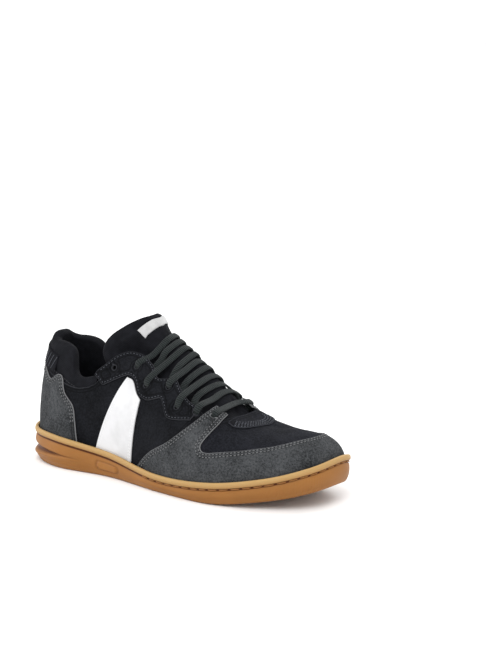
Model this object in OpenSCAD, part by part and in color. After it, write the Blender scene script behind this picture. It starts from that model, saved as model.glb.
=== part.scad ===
// Low-cut indoor court shoe for the right foot, laced. Units are millimetres.
// +X points to the toe, +Y to the inner (medial) side and +Z up.
// The origin lies on the ground, half way along the sole.

/* [Size] */
// Length of the sole from heel to toe
sole_length = 300; // [285:1:315]
// Width of the sole across the ball of the foot
sole_width = 110; // [104:1:116]
// Height of the tongue tip above the ground
tongue_height = 130; // [124:1:138]

/* [Sole] */
// Thickness of the outsole under the foot
outsole_t = 5; // [4:0.5:5.5]
// Thickness of the cup wall at its lip
lip_t = 3.4; // [3:0.1:3.5]
// Thickness of the strobel board
board_t = 1.5; // [1:0.1:1.6]
// Thickness of the removable sockliner
sockliner_t = 4; // [3:0.5:5]
// Distance between two stitches of the sole thread
stitch_pitch = 6.5; // [5.5:0.5:9]

/* [Upper] */
// Thickness of the suede and leather overlays
overlay_t = 1.1; // [0.8:0.1:1.1]
// Thickness of the quarters, vamp and collar textile
base_t = 1.3; // [1:0.1:1.3]
// Thickness of the heel counter and toe puff
stiffener_t = 0.9; // [0.6:0.1:0.9]
// Thickness of the textile linings
lining_t = 1; // [0.7:0.1:1]
// Thickness of the collar foam at its lower edge
foam_t = 3; // [2:0.5:3]
// Extra thickness of the collar foam at the top line
foam_swell = 2.6; // [1:0.2:2.6]
// Diameter of the lace holes
eyelet_d = 4.2; // [3.6:0.2:4.6]

/* [Tongue] */
// Thickness of the tongue foam
tongue_foam_t = 3.4; // [2.4:0.2:3.6]
// Thickness of the tongue shell and its lining
tongue_skin_t = 0.9; // [0.6:0.1:1]

/* [Lace] */
// Width of the flat lace
lace_w = 5.6; // [4.4:0.2:6]
// Thickness of the flat lace
lace_t = 2.2; // [1.6:0.1:2.4]
// Length of the tip on each lace end
aglet_l = 16; // [10:1:20]

/* [Hidden] */

LATERAL = 1;
MEDIAL = -1;
CLEAR = 0.3;

// Scale of each axis against the drawn size
size_x = sole_length / 300;
size_y = sole_width / 110;
size_z = tongue_height / 130;

// The rim of the sole, counter-clockwise from the heel: 16 knots of a closed smooth curve.
// Knot 0 is the heel, 1 to 7 the lateral side, 8 the toe and 9 to 15 the medial side.
RIM = [
    [-150, 0], [-139, -25], [-105, -39], [-50, -38], [10, -51], [65, -56], [110, -43], [140, -22],
    [150, 9], [142, 34], [110, 51], [65, 54], [10, 41], [-50, 33], [-105, 37], [-139, 25]
];
// What the form is at knots 0 to 8, the same on both sides:
// rim height, ground height, crest x, crest y, crest z, roundness, foot line height
STATION = [
    [31, 2, -98, 0, 172, 1.55, 22], [30, 0.7, -99, 0, 150, 1.9, 21.5],
    [29, 0, -72, 4, 134, 2, 20.5], [22.5, 0, -34, 9, 113, 2.25, 15],
    [15.5, 0, 7, 13, 99.5, 1.95, 9.5], [18.5, 0.5, 47, 14, 65, 2.25, 11.5],
    [26, 6.5, 80, 13, 54.5, 2.45, 17.5], [35, 13, 100, 12, 54, 2.65, 24],
    [40, 16, 108, 11, 54, 2.6, 27]
];
// Distance of the foot line in from the rim
foot_inset = 5;

// Layer faces, as distances out from the form
overlay_in = 0;
base_out = -0.4;
stiffener_out = -2.1;
collar_foam_out = -2.1;
forefoot_lining_out = -3.4;
heel_lining_out = -2.1 - foam_t + 1;
heel_lining_swell = 1 + foam_swell + CLEAR;

// ---- the form ----

function knot(i) =
    let(p = RIM[i], s = STATION[min(i, 16 - i)])
    [
        p[0] * size_x, p[1] * size_y, s[0] * size_z, s[1] * size_z,
        s[2] * size_x, s[3] * size_y, s[4] * size_z, s[5], s[6] * size_z
    ];
knots = [for (i = [0:15]) knot(i)];

function spline(p, q, r, s, t) =
    0.5 * (2 * q + (r - p) * t + (2 * p - 5 * q + 4 * r - s) * t * t + (3 * q - p - 3 * r + s) * t * t * t);

// Everything that the form knows at k, which runs from 0 to 16 once round the shoe
function at(k) =
    let(i = floor(k), t = k - i, n = (i % 16 + 16) % 16)
    spline(knots[(n + 15) % 16], knots[n], knots[(n + 1) % 16], knots[(n + 2) % 16], t);

function outward(k) =
    let(d = at(k + 0.01) - at(k - 0.01))
    [d[1], -d[0]] / norm([d[0], d[1]]);

// Heights along the ring: the rim, the ground line with its toe spring, and the foot line
rim = function(k) at(k)[2];
ground = function(k) max(0, at(k)[3]);
foot = function(k) at(k)[8];
function above(z, up) = function(k) z(k) + up;

// A point on the form: h = 0 on the foot line, h = 1 on the crest over the middle of the foot
function side_point(k, h) =
    let(
        a = at(k), o = outward(k),
        c = pow(max(cos(90 * h), 0), 2 / a[7]),
        s = pow(max(sin(90 * h), 0), 2 / a[7]),
        fx = a[0] - foot_inset * o[0], fy = a[1] - foot_inset * o[1]
    )
    [a[4] + (fx - a[4]) * c, a[5] + (fy - a[5]) * c, a[8] + (a[6] - a[8]) * s];

// h from 1 to 2 runs down the other side
function skin_point(k, h) = h > 1 ? side_point(16 - k, 2 - h) : side_point(k, h);
function skin_normal(k, h) =
    let(
        // on the crest itself the form has no width, so its slope is taken just beside it
        g = abs(h - 1) < 0.02 ? (h > 1 ? 1.02 : 0.98) : h,
        a = skin_point(k + 0.02, g) - skin_point(k - 0.02, g),
        b = skin_point(k, g + 0.01) - skin_point(k, max(g - 0.01, 0)),
        n = cross(a, b)
    )
    n / norm(n);
function form(k, h, d) = skin_point(k, h) + d * skin_normal(k, h);

// ---- building blocks ----

function mix(a, b, t) = a + (b - a) * t;
function quad(a, b, c, d) = [[a, b, c], [a, c, d]];
function turned(faces, turn) = turn ? [for (f = faces) [f[0], f[2], f[1]]] : faces;

// Faces of a sheet with n columns and m rows of points on its outer and then its inner face
function sheet_faces(n, m) =
    let(
        o = function(i, j) i * m + j,
        q = function(i, j) n * m + i * m + j
    )
    [
        for (i = [0:n - 2]) for (j = [0:m - 2]) each concat(
            quad(o(i, j), o(i, j + 1), o(i + 1, j + 1), o(i + 1, j)),
            quad(q(i, j), q(i + 1, j), q(i + 1, j + 1), q(i, j + 1))
        ),
        for (i = [0:n - 2]) each concat(
            quad(o(i, 0), o(i + 1, 0), q(i + 1, 0), q(i, 0)),
            quad(o(i, m - 1), q(i, m - 1), q(i + 1, m - 1), o(i + 1, m - 1))
        ),
        for (j = [0:m - 2]) each concat(
            quad(o(0, j), q(0, j), q(0, j + 1), o(0, j + 1)),
            quad(o(n - 1, j), o(n - 1, j + 1), q(n - 1, j + 1), q(n - 1, j))
        )
    ];

// A sheet between two lines on the form. Each column is [k, h, k, h]: its lower and its upper end.
// swell thickens the sheet inwards towards its upper end, and drop moves all of it inwards there.
// across says that the columns follow each other over the crest and not round the sole.
module panel(columns, rows, outer, thick, swell = 0, drop = 0, side = LATERAL, across = false) {
    layer = function(depth, c, j)
        let(
            t = j / rows,
            k = mix(c[0], c[2], t),
            h = mix(c[1], c[3], t)
        )
        form(side == LATERAL ? k : 16 - k, h, outer - drop * t - depth * (thick + swell * t));
    points = [for (depth = [0, 1]) for (c = columns) for (j = [0:rows]) layer(depth, c, j)];
    polyhedron(points, turned(sheet_faces(len(columns), rows + 1), across || side == MEDIAL));
}

// The columns of a panel that wraps round the heel: the given lateral ones and their mirror
function around_heel(columns) =
    concat(
        [for (i = [len(columns) - 1:-1:1]) let(c = columns[i]) [-c[0], c[1], -c[2], c[3]]],
        columns
    );
// The same round the toe
function around_toe(columns) =
    let(n = len(columns))
    concat(columns, [for (i = [n - 2:-1:0]) let(c = columns[i]) [16 - c[0], c[1], 16 - c[2], c[3]]]);
// The columns of a panel that crosses the crest: each is [rear k, h, front k, h]
function across_crest(columns) =
    let(n = len(columns))
    concat(columns, [for (i = [n - 2:-1:0]) let(c = columns[i]) [c[0], 2 - c[1], c[2], 2 - c[3]]]);

// A solid from closed rings of [inset, height] round the sole, listed from the bottom face over
// the outside to the last ring, with the first and the last ring closed across the sole.
RING_N = 64;
function ring(inset, z) =
    [
        for (i = [0:RING_N - 1])
            let(k = i * 16 / RING_N, a = at(k), o = outward(k))
            [a[0] - inset * o[0], a[1] - inset * o[1], z(k)]
    ];
function across_ring(first) =
    let(p = function(i) first + i % RING_N)
    [
        for (i = [0:RING_N / 2 - 1])
            for (f = quad(p(i), p(i + 1), p(RING_N - i - 1), p(RING_N - i)))
                if (f[0] != f[1] && f[1] != f[2] && f[0] != f[2]) f
    ];
module ring_solid(rings) {
    n = RING_N;
    p = function(r, i) r * n + i % n;
    points = [for (r = rings) each ring(r[0], r[1])];
    sides = [
        for (r = [0:len(rings) - 2]) for (i = [0:n - 1])
            each quad(p(r, i), p(r + 1, i), p(r + 1, i + 1), p(r, i + 1))
    ];
    polyhedron(
        points,
        concat(sides, across_ring(0), turned(across_ring((len(rings) - 1) * n), true))
    );
}

// ---- the sole ----

groove_z = 8.2;

module cupsole() {
    color([0.75, 0.50, 0.28])
        ring_solid([
            [5.5, above(ground, 0)],
            [3.4, above(ground, 0.9)],
            [2.0, above(ground, 3.4)],
            [1.3, above(rim, -groove_z - 1.2)],
            [2.4, above(rim, -groove_z - 0.8)],
            [2.4, above(rim, -groove_z + 0.8)],
            [0.4, above(rim, -groove_z + 1.2)],
            [0, above(rim, -3.5)],
            [0.9, above(rim, 0)],
            [lip_t, above(rim, 0)],
            [lip_t, above(ground, outsole_t)]
        ]);
}

module midsole_wedge() {
    color([0.85, 0.84, 0.80])
        ring_solid([
            [lip_t + CLEAR, above(ground, outsole_t)],
            [lip_t + CLEAR, above(foot, -board_t)]
        ]);
}

module strobel_board() {
    color([0.90, 0.88, 0.80])
        ring_solid([
            [lip_t + CLEAR, above(foot, -board_t)],
            [lip_t + CLEAR, above(foot, -0.1)]
        ]);
}

sockliner_inset = 11;
module sockliner() {
    color([0.16, 0.16, 0.17])
        ring_solid([
            [sockliner_inset + 1, above(foot, CLEAR)],
            [sockliner_inset, above(foot, 1)],
            [sockliner_inset, above(foot, sockliner_t + 1.5)],
            [sockliner_inset + 1.5, above(foot, sockliner_t + 1.5)],
            [sockliner_inset + 8, above(foot, sockliner_t)]
        ]);
}

// Lock stitches in the groove, from the waist round the toe to the other waist
thread_from = 3.6;
thread_d = 1;
thread_inset = 1.2;
function span(i) = norm([knots[i + 1][0] - knots[i][0], knots[i + 1][1] - knots[i][1]]);
function stitch_starts() =
    [
        for (i = [3:12])
            let(n = round(span(i) / stitch_pitch))
            for (j = [0:n - 1])
                let(k = i + j / n)
                if (k > thread_from && k < 16 - thread_from) [k, 0.72 / n]
    ];
function stitch_points(s) =
    [
        for (k = [s[0], s[0] + s[1]]) for (side = [0, thread_d]) for (up = [-0.5, 0.5])
            let(a = at(k), o = outward(k), in = thread_inset + side)
            [a[0] - in * o[0], a[1] - in * o[1], a[2] - groove_z + up * thread_d]
    ];
BOX_FACES = [
    [0, 1, 5], [0, 5, 4], [2, 6, 7], [2, 7, 3], [0, 2, 3], [0, 3, 1],
    [4, 5, 7], [4, 7, 6], [1, 3, 7], [1, 7, 5], [0, 4, 6], [0, 6, 2]
];
module sole_thread() {
    starts = stitch_starts();
    color([0.36, 0.22, 0.12])
        polyhedron(
            [for (s = starts) each stitch_points(s)],
            [for (i = [0:len(starts) - 1]) for (f = BOX_FACES) [for (v = f) v + 8 * i]]
        );
}

// ---- the upper: stiffeners, quarters and vamp ----

HEEL_SEAM = [
    [0, 0.33], [0.25, 0.33], [0.5, 0.33], [0.75, 0.33], [1, 0.33], [1.25, 0.325], [1.5, 0.32],
    [1.75, 0.315], [2, 0.31], [2.3, 0.31]
];
// The quarter's upper edge in front of the ankle: [lower k, upper k, upper h]
QUARTER_TOP = [
    [2.55, 2.50, 0.335], [2.66, 2.62, 0.38], [2.78, 2.73, 0.49], [2.88, 2.80, 0.595],
    [2.98, 2.94, 0.675], [3.10, 3.08, 0.71], [3.25, 3.25, 0.71], [3.40, 3.38, 0.68],
    [3.50, 3.50, 0.64], [3.58, 3.66, 0.585], [3.65, 3.80, 0.605], [3.71, 3.96, 0.635],
    [3.77, 4.10, 0.60], [3.83, 4.36, 0.575], [3.89, 4.52, 0.60], [3.95, 4.66, 0.61]
];
quarter_columns = concat(
    [for (i = [0:len(HEEL_SEAM) - 1]) let(s = HEEL_SEAM[i]) [max(s[0], 0.03), 0, max(s[0], 0.03), s[1]]],
    [for (s = QUARTER_TOP) [s[0], 0, s[1], s[2]]]
);
// The lining behind the front of the quarter starts where the heel lining ends
quarter_lining_columns = [
    for (s = QUARTER_TOP) if (s[0] > 2.6) [s[0] + 0.05, 0.03, s[1] + 0.03, s[2] - 0.02]
];

// The lace holes of one side, from the throat up, and the spare one at the top
EYELETS = [
    [4.78, 0.66], [4.48, 0.56], [4.14, 0.49], [3.88, 0.58], [3.49, 0.51], [3.20, 0.61], [2.84, 0.52]
];
// The lowest hole is in the toe guard, and the others go through the eyestay and what is behind it
module eyelet_cutters(side, holes = [1:6]) {
    for (i = holes) {
        e = EYELETS[i];
        k = side == LATERAL ? e[0] : 16 - e[0];
        n = skin_normal(k, e[1]);
        translate(form(k, e[1], -5))
            rotate([0, acos(n[2]), atan2(n[1], n[0])])
                cylinder(d = eyelet_d, h = 8, $fn = 24);
    }
}

module quarter(side) {
    color([0.10, 0.11, 0.13])
        difference() {
            panel(quarter_columns, 8, base_out, base_t, side = side);
            eyelet_cutters(side);
        }
}
module quarter_lateral() { quarter(LATERAL); }
module quarter_medial() { quarter(MEDIAL); }

module quarter_lining(side) {
    color([0.13, 0.13, 0.14])
        difference() {
            panel(quarter_lining_columns, 7, stiffener_out, lining_t - 0.1, side = side);
            eyelet_cutters(side);
        }
}
module quarter_lining_lateral() { quarter_lining(LATERAL); }
module quarter_lining_medial() { quarter_lining(MEDIAL); }

counter_columns = [for (k = [0:0.25:2.5]) [k, 0, k, 0.31 - 0.02 * k]];
module heel_counter() {
    color([0.80, 0.79, 0.74])
        panel(around_heel(counter_columns), 4, stiffener_out, stiffener_t);
}

puff_columns = [for (k = [6:0.25:8]) [k, 0, k, 0.42 + 0.14 * (k - 6)]];
module toe_puff() {
    color([0.80, 0.79, 0.74])
        panel(around_toe(puff_columns), 5, stiffener_out, stiffener_t);
}

// The vamp is a fan: rows run from the foot line up to the crest, where both sides meet.
// Its rear edge is [k, h] from the foot line to the crest at the throat.
VAMP_REAR = [[4, 0], [4.21, 0.16], [4.43, 0.33], [4.62, 0.49], [4.87, 0.66], [5.06, 0.80], [5.25, 1]];
VAMP_N = 32;
module fan(rear, step, outer, thick) {
    m = len(rear);
    half = VAMP_N / 2;
    // The last row lies on the crest, so its two halves are the same points
    column = function(i, r) mix(rear[r][0] + step, 16 - rear[r][0] - step, i / VAMP_N);
    level = function(d) concat(
        [for (r = [0:m - 2]) for (i = [0:VAMP_N]) form(column(i, r), rear[r][1], d)],
        [for (i = [0:half]) form(column(i, m - 1), 1, d)]
    );
    count = (m - 1) * (VAMP_N + 1) + half + 1;
    id = function(l, i, r)
        l * count + (r < m - 1 ? r * (VAMP_N + 1) + i : (m - 1) * (VAMP_N + 1) + min(i, VAMP_N - i));
    skins = [
        for (i = [0:VAMP_N - 1]) for (r = [0:m - 2]) each concat(
            quad(id(0, i, r), id(0, i, r + 1), id(0, i + 1, r + 1), id(0, i + 1, r)),
            quad(id(1, i, r), id(1, i + 1, r), id(1, i + 1, r + 1), id(1, i, r + 1))
        )
    ];
    foot = [for (i = [0:VAMP_N - 1]) each quad(id(0, i, 0), id(0, i + 1, 0), id(1, i + 1, 0), id(1, i, 0))];
    ends = [
        for (r = [0:m - 2]) each concat(
            quad(id(0, 0, r), id(1, 0, r), id(1, 0, r + 1), id(0, 0, r + 1)),
            quad(id(0, VAMP_N, r), id(0, VAMP_N, r + 1), id(1, VAMP_N, r + 1), id(1, VAMP_N, r))
        )
    ];
    polyhedron(concat(level(outer), level(outer - thick)), concat(skins, foot, ends));
}
module vamp() {
    color([0.10, 0.11, 0.14])
        fan(VAMP_REAR, 0, base_out, base_t);
}
module vamp_lining() {
    color([0.13, 0.13, 0.14])
        fan(VAMP_REAR, 0.45, forefoot_lining_out, lining_t);
}

// ---- the upper: overlays ----

throat_patch_t = 0.9;
throat_columns = [
    [5.08, 0.715, 5.20, 0.70], [5.09, 0.75, 5.37, 0.735], [5.11, 0.79, 5.49, 0.78],
    [5.15, 0.845, 5.62, 0.84], [5.19, 0.90, 5.75, 0.90], [5.25, 0.955, 5.87, 0.96], [5.27, 1, 5.97, 1]
];
module throat_patch() {
    color([0.11, 0.12, 0.17])
        panel(across_crest(throat_columns), 3, overlay_in + throat_patch_t, throat_patch_t, across = true);
}

// The toe guard: its wing reaches up to the lowest lace hole on each side
guard_columns = [
    [3.55, 0, 3.57, 0.04], [3.66, 0, 3.80, 0.15], [3.80, 0, 4.11, 0.25], [3.92, 0, 4.34, 0.36],
    [4.03, 0, 4.52, 0.48], [4.15, 0, 4.65, 0.63], [4.29, 0, 4.74, 0.78], [4.36, 0, 4.99, 0.80],
    [4.41, 0, 4.93, 0.62], [4.46, 0, 4.83, 0.48], [4.52, 0, 4.76, 0.38], [4.57, 0, 4.72, 0.31],
    [4.72, 0, 4.85, 0.30]
];
GUARD_INNER = [
    [4.85, 0.30], [5.20, 0.37], [5.65, 0.45], [6.03, 0.52],
    [6.40, 0.59], [6.86, 0.66], [7.40, 0.71], [8, 0.73]
];
toe_columns = [for (k = [5:0.25:8]) [k, 0, k, lookup(k, GUARD_INNER)]];
module toe_guard() {
    color([0.38, 0.38, 0.39])
        difference() {
            panel(around_toe(concat(guard_columns, toe_columns)), 6, overlay_in + overlay_t, overlay_t);
            eyelet_cutters(LATERAL, [0]);
            eyelet_cutters(MEDIAL, [0]);
        }
}

eyestay_columns = [
    [2.56, 0.42, 2.58, 0.45], [2.66, 0.40, 2.70, 0.53], [2.75, 0.38, 2.80, 0.62],
    [2.94, 0.45, 2.94, 0.70], [3.04, 0.49, 3.08, 0.73], [3.14, 0.52, 3.25, 0.73],
    [3.26, 0.51, 3.37, 0.70], [3.39, 0.43, 3.49, 0.67], [3.47, 0.42, 3.58, 0.62],
    [3.58, 0.42, 3.66, 0.60], [3.70, 0.45, 3.80, 0.63], [3.81, 0.48, 3.92, 0.655],
    [3.87, 0.46, 3.98, 0.66], [3.97, 0.40, 4.10, 0.62], [4.07, 0.39, 4.22, 0.60],
    [4.25, 0.42, 4.36, 0.59], [4.44, 0.47, 4.55, 0.62]
];
module eyestay(side) {
    color([0.09, 0.10, 0.12])
        difference() {
            panel(eyestay_columns, 4, overlay_in + overlay_t, overlay_t, side = side);
            eyelet_cutters(side);
        }
}
module eyestay_lateral() { eyestay(LATERAL); }
module eyestay_medial() { eyestay(MEDIAL); }

// A broad plain band that leans forward from the eyestay down to the sole
band_columns = [[2.72, 0, 3.12, 0.50], [2.95, 0, 3.24, 0.495], [3.18, 0, 3.36, 0.43], [3.42, 0, 3.46, 0.40]];
module side_band(side) {
    color([0.93, 0.93, 0.93])
        panel(band_columns, 8, overlay_in + overlay_t, overlay_t, side = side);
}
module side_band_lateral() { side_band(LATERAL); }
module side_band_medial() { side_band(MEDIAL); }

foxing_columns = [
    [0, 0, 0, 0.33], [0.25, 0, 0.25, 0.33], [0.5, 0, 0.5, 0.33], [0.75, 0, 0.75, 0.33],
    [1.05, 0, 1.05, 0.33], [1.28, 0, 1.26, 0.315], [1.5, 0, 1.5, 0.30], [1.7, 0, 1.74, 0.34],
    [1.86, 0, 1.9, 0.335], [2.04, 0, 2.03, 0.27], [2.22, 0, 2.28, 0.21], [2.43, 0, 2.36, 0.13]
];
module heel_foxing() {
    color([0.36, 0.36, 0.37])
        panel(around_heel(foxing_columns), 4, overlay_in + overlay_t, overlay_t);
}

patch_columns = [for (k = [0:0.2:1.6]) [k, 0.34, k, 0.445 - 0.01 * k]];
module heel_patch() {
    color([0.07, 0.07, 0.08])
        panel(around_heel(patch_columns), 3, overlay_in + overlay_t, overlay_t);
}

// ---- the collar ----

// The top line round the ankle: [lower k, lower h, upper k, upper h]
collar_columns = [
    [0, 0.345, 0, 0.47], [0.25, 0.345, 0.27, 0.47], [0.5, 0.345, 0.54, 0.473],
    [0.78, 0.345, 0.85, 0.475], [1.05, 0.345, 1.15, 0.48], [1.32, 0.34, 1.42, 0.495],
    [1.6, 0.335, 1.68, 0.505], [1.85, 0.33, 1.90, 0.495], [2.04, 0.325, 2.03, 0.45],
    [2.18, 0.325, 2.13, 0.395], [2.30, 0.325, 2.24, 0.366], [2.40, 0.333, 2.36, 0.362],
    [2.50, 0.35, 2.48, 0.38]
];
module collar_panel() {
    color([0.08, 0.08, 0.09])
        panel(around_heel(collar_columns), 4, base_out, base_t);
}
module collar_foam() {
    color([0.85, 0.83, 0.76])
        panel(around_heel(collar_columns), 4, collar_foam_out, foam_t, swell = foam_swell);
}
heel_lining_columns = [for (c = collar_columns) [c[0] * 1.04, 0.03, c[2], c[3] - 0.003]];
module heel_lining() {
    color([0.12, 0.12, 0.13])
        panel(around_heel(heel_lining_columns), 8, heel_lining_out, lining_t, drop = heel_lining_swell);
}

// ---- the tongue ----

// Its columns from the lateral to the medial edge: [rear k, h, front k, h]
tongue_columns = [
    [2.74, 0.46, 5.00, 0.50], [2.54, 0.56, 5.07, 0.58], [2.49, 0.66, 5.13, 0.66],
    [2.53, 0.75, 5.18, 0.74], [2.60, 0.84, 5.21, 0.82], [2.66, 0.93, 5.23, 0.91],
    [2.71, 1.02, 5.24, 1], [2.74, 1.10, 5.23, 1.09], [2.78, 1.18, 5.21, 1.18],
    [2.76, 1.26, 5.18, 1.26], [2.68, 1.35, 5.13, 1.34], [2.64, 1.44, 5.07, 1.42],
    [2.74, 1.54, 5.00, 1.50]
];
TONGUE_ROWS = 14;
// How far the side edges lie inside the form, and how far the middle bulges out from there
tongue_low = -7.4;
tongue_rise = 6;
// The tip stands proud, most of all on the medial side: [h, how far]
TIP_RISE = [
    [0.55, 0], [0.65, 3], [0.75, 7], [0.85, 10], [0.93, 12], [1.02, 15],
    [1.10, 18], [1.18, 19], [1.26, 17], [1.35, 9], [1.45, 0]
];
// The bulge ends before the eyestays: [k, how far it reaches from the crest in h]
BULGE_REACH = [[2.55, 0.52], [2.7, 0.41], [2.8, 0.33], [2.95, 0.23], [3.3, 0.22], [3.6, 0.27], [4.2, 0.33]];
// The tip spreads out to the medial side
tip_spread = 5;
function smooth(t) = let(c = max(0, min(1, t))) c * c * (3 - 2 * c);
function bulge(k, h) = smooth((lookup(k, BULGE_REACH) - abs(1 - h)) / 0.12);
function tongue_face(k, h) =
    let(
        // the middle sinks again where it goes in under the vamp
        front = 1 - 0.6 * smooth((k - 4.75) / 0.4),
        middle = front * tongue_rise * smooth(1 - abs(1.04 - h) / 0.36),
        tip = lookup(h, TIP_RISE) * smooth((4.1 - k) / 1.4)
    )
    tongue_low + bulge(k, h) * (middle + tip);
function tongue_point(k, h, d) =
    form(k, h, tongue_face(k, h) + d)
    + [0, tip_spread * bulge(k, h) * smooth((h - 1) / 0.35) * smooth((3.2 - k) / 0.6), 0];
// A layer of the tongue, thick from depth below its face
module tongue_layer(depth, thick) {
    points = [
        for (d = [depth, depth + thick]) for (c = tongue_columns) for (j = [0:TONGUE_ROWS])
            let(t = j / TONGUE_ROWS)
            tongue_point(mix(c[0], c[2], t), mix(c[1], c[3], t), -d)
    ];
    polyhedron(points, turned(sheet_faces(len(tongue_columns), TONGUE_ROWS + 1), true));
}
module tongue_shell() {
    color([0.08, 0.08, 0.09])
        tongue_layer(0, tongue_skin_t);
}
module tongue_foam() {
    color([0.85, 0.83, 0.76])
        tongue_layer(tongue_skin_t + 0.05, tongue_foam_t);
}
module tongue_lining() {
    color([0.12, 0.12, 0.13])
        tongue_layer(tongue_skin_t + tongue_foam_t + 0.1, tongue_skin_t);
}

// A woven label, sewn across the tongue above the top strand of the lace
label_k = [2.86, 3.04];
label_h = [0.87, 1.11];
label_face = 1.3;
label_t = 0.7;
module tongue_label() {
    n = 5;
    points = [
        for (d = [label_face, label_face - label_t]) for (i = [0:n]) for (j = [0:n])
            let(k = mix(label_k[0], label_k[1], j / n), h = mix(label_h[0], label_h[1], i / n))
            tongue_point(k, h, d)
    ];
    color([0.92, 0.92, 0.92])
        polyhedron(points, turned(sheet_faces(n + 1, n + 1), true));
}

// ---- the lace ----

// The middle of the lace, as [k, h, distance out from the form]. One end is loose inside the
// lateral quarter, crosses the throat once, then zigzags up: down through each hole, along under
// the eyestay, out over the tongue and on to the next hole on the other side.
LACE_ROUTE = [
    [3.75, 0.37, -6.2], [4.20, 0.40, -4.6], [4.58, 0.47, -4.6], [4.76, 0.60, -4.3],
    [4.78, 0.66, -1], [4.80, 0.70, 2.2], [4.86, 0.82, 1], [4.91, 1.02, 0.2], [4.86, 1.20, 1.4],
    [4.79, 1.31, 2.3], [4.78, 1.34, -1], [4.74, 1.36, -4.3],
    [4.66, 1.30, -4.2], [4.64, 1.15, -2.2], [4.66, 0.96, -1.9], [4.62, 0.80, -1.2], [4.52, 0.63, 2.2],
    [4.48, 0.56, -1], [4.44, 0.58, -4.4],
    [4.38, 0.66, -4.2], [4.44, 0.80, -2.4], [4.53, 1.02, -1.9], [4.56, 1.22, -0.6], [4.51, 1.39, 2.3],
    [4.48, 1.44, -1], [4.42, 1.42, -4.4],
    [4.37, 1.32, -4.2], [4.36, 1.15, -2], [4.36, 0.96, -1.9], [4.30, 0.78, -1.2], [4.18, 0.57, 2.2],
    [4.14, 0.49, -1], [4.11, 0.54, -4.4],
    [4.09, 0.65, -4.3], [4.15, 0.80, -2.4], [4.21, 1.02, -1.9], [4.20, 1.22, -0.8], [4.16, 1.44, 2.3],
    [4.14, 1.51, -1], [4.10, 1.47, -4.4],
    [4.06, 1.34, -4.3], [4.05, 1.16, -2], [4.04, 0.96, -1.9], [3.99, 0.78, -1], [3.90, 0.62, 2.2],
    [3.88, 0.58, -1], [3.85, 0.62, -4.5],
    [3.83, 0.70, -4.3], [3.86, 0.82, -2.4], [3.89, 1.02, -1.9],
    [3.90, 1.12, -0.9], [3.90, 1.22, 0.5], [3.88, 1.38, 2.3],
    [3.88, 1.42, -1], [3.84, 1.40, -4.5],
    [3.77, 1.31, -4.3], [3.75, 1.25, -1], [3.73, 1.15, -2], [3.72, 1.06, -2],
    [3.70, 0.96, -1.9], [3.63, 0.76, -1], [3.52, 0.56, 2.2],
    [3.49, 0.51, -1], [3.47, 0.57, -4.5],
    [3.46, 0.70, -4.3], [3.49, 0.78, -2.4], [3.51, 0.86, -2.4],
    [3.54, 1.02, -1.9], [3.54, 1.14, -1], [3.54, 1.23, 2], [3.50, 1.45, 2.3],
    [3.49, 1.49, -1], [3.46, 1.45, -4.5],
    [3.41, 1.31, -4.3], [3.40, 1.24, 0.5], [3.39, 1.17, 5], [3.38, 1.08, 5],
    [3.38, 0.96, -1.9], [3.32, 0.78, -0.6], [3.23, 0.65, 2.3],
    [3.20, 0.61, -1], [3.17, 0.54, -4.5], [3.14, 0.44, -4.7], [3.12, 0.35, -6.6]
];
// Over the tongue the lace lies on its face, if that is further out
lace_gap = 2.1;
function lifted(r) =
    let(clear = tongue_face(r[0], r[1]) + lace_t / 2 + lace_gap)
    [r[0], r[1], abs(1 - r[1]) < 0.36 ? max(r[2], clear) : r[2]];
lace_places = [for (r = LACE_ROUTE) lifted(r)];
LACE_SIDES = 8;
// The flat lace keeps its width along the slope of the instep
lace_slope = [1, 0, -0.5];
function unit(v) = v / norm(v);
lace_path = [for (r = lace_places) form(r[0], r[1], r[2])];
function lace_ring(i) =
    let(
        last = len(lace_path) - 1,
        t = unit(lace_path[min(i + 1, last)] - lace_path[max(i - 1, 0)]),
        b = unit(lace_slope - (lace_slope * t) * t),
        m = cross(t, b)
    )
    [
        for (s = [0:LACE_SIDES - 1])
            let(a = s * 360 / LACE_SIDES)
            lace_path[i] + b * lace_w / 2 * cos(a) + m * lace_t / 2 * sin(a)
    ];
module lace() {
    n = len(lace_path);
    p = function(i, s) i * LACE_SIDES + s % LACE_SIDES;
    cap = function(i) [for (s = [1:LACE_SIDES - 2]) [p(i, 0), p(i, s), p(i, s + 1)]];
    color([0.19, 0.21, 0.20])
        polyhedron(
            [for (i = [0:n - 1]) each lace_ring(i)],
            concat(
                [
                    for (i = [0:n - 2]) for (s = [0:LACE_SIDES - 1])
                        each quad(p(i, s), p(i + 1, s), p(i + 1, s + 1), p(i, s + 1))
                ],
                cap(0),
                turned(cap(n - 1), true)
            )
        );
}

tip_d = 2.8;
module lace_tip(end, inner) {
    v = unit(end - inner);
    translate(end)
        rotate([0, acos(v[2]), atan2(v[1], v[0])])
            cylinder(d = tip_d, h = aglet_l, $fn = 24);
}
module lace_tips() {
    last = len(lace_path) - 1;
    color([0.10, 0.10, 0.11]) {
        lace_tip(lace_path[0], lace_path[1]);
        lace_tip(lace_path[last], lace_path[last - 1]);
    }
}

cupsole();
midsole_wedge();
strobel_board();
sockliner();
sole_thread();
heel_counter();
toe_puff();
vamp();
vamp_lining();
throat_patch();
toe_guard();
quarter_lateral();
quarter_medial();
quarter_lining_lateral();
quarter_lining_medial();
eyestay_lateral();
eyestay_medial();
side_band_lateral();
side_band_medial();
heel_foxing();
heel_patch();
collar_panel();
collar_foam();
heel_lining();
tongue_shell();
tongue_foam();
tongue_lining();
tongue_label();
lace();
lace_tips();
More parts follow.
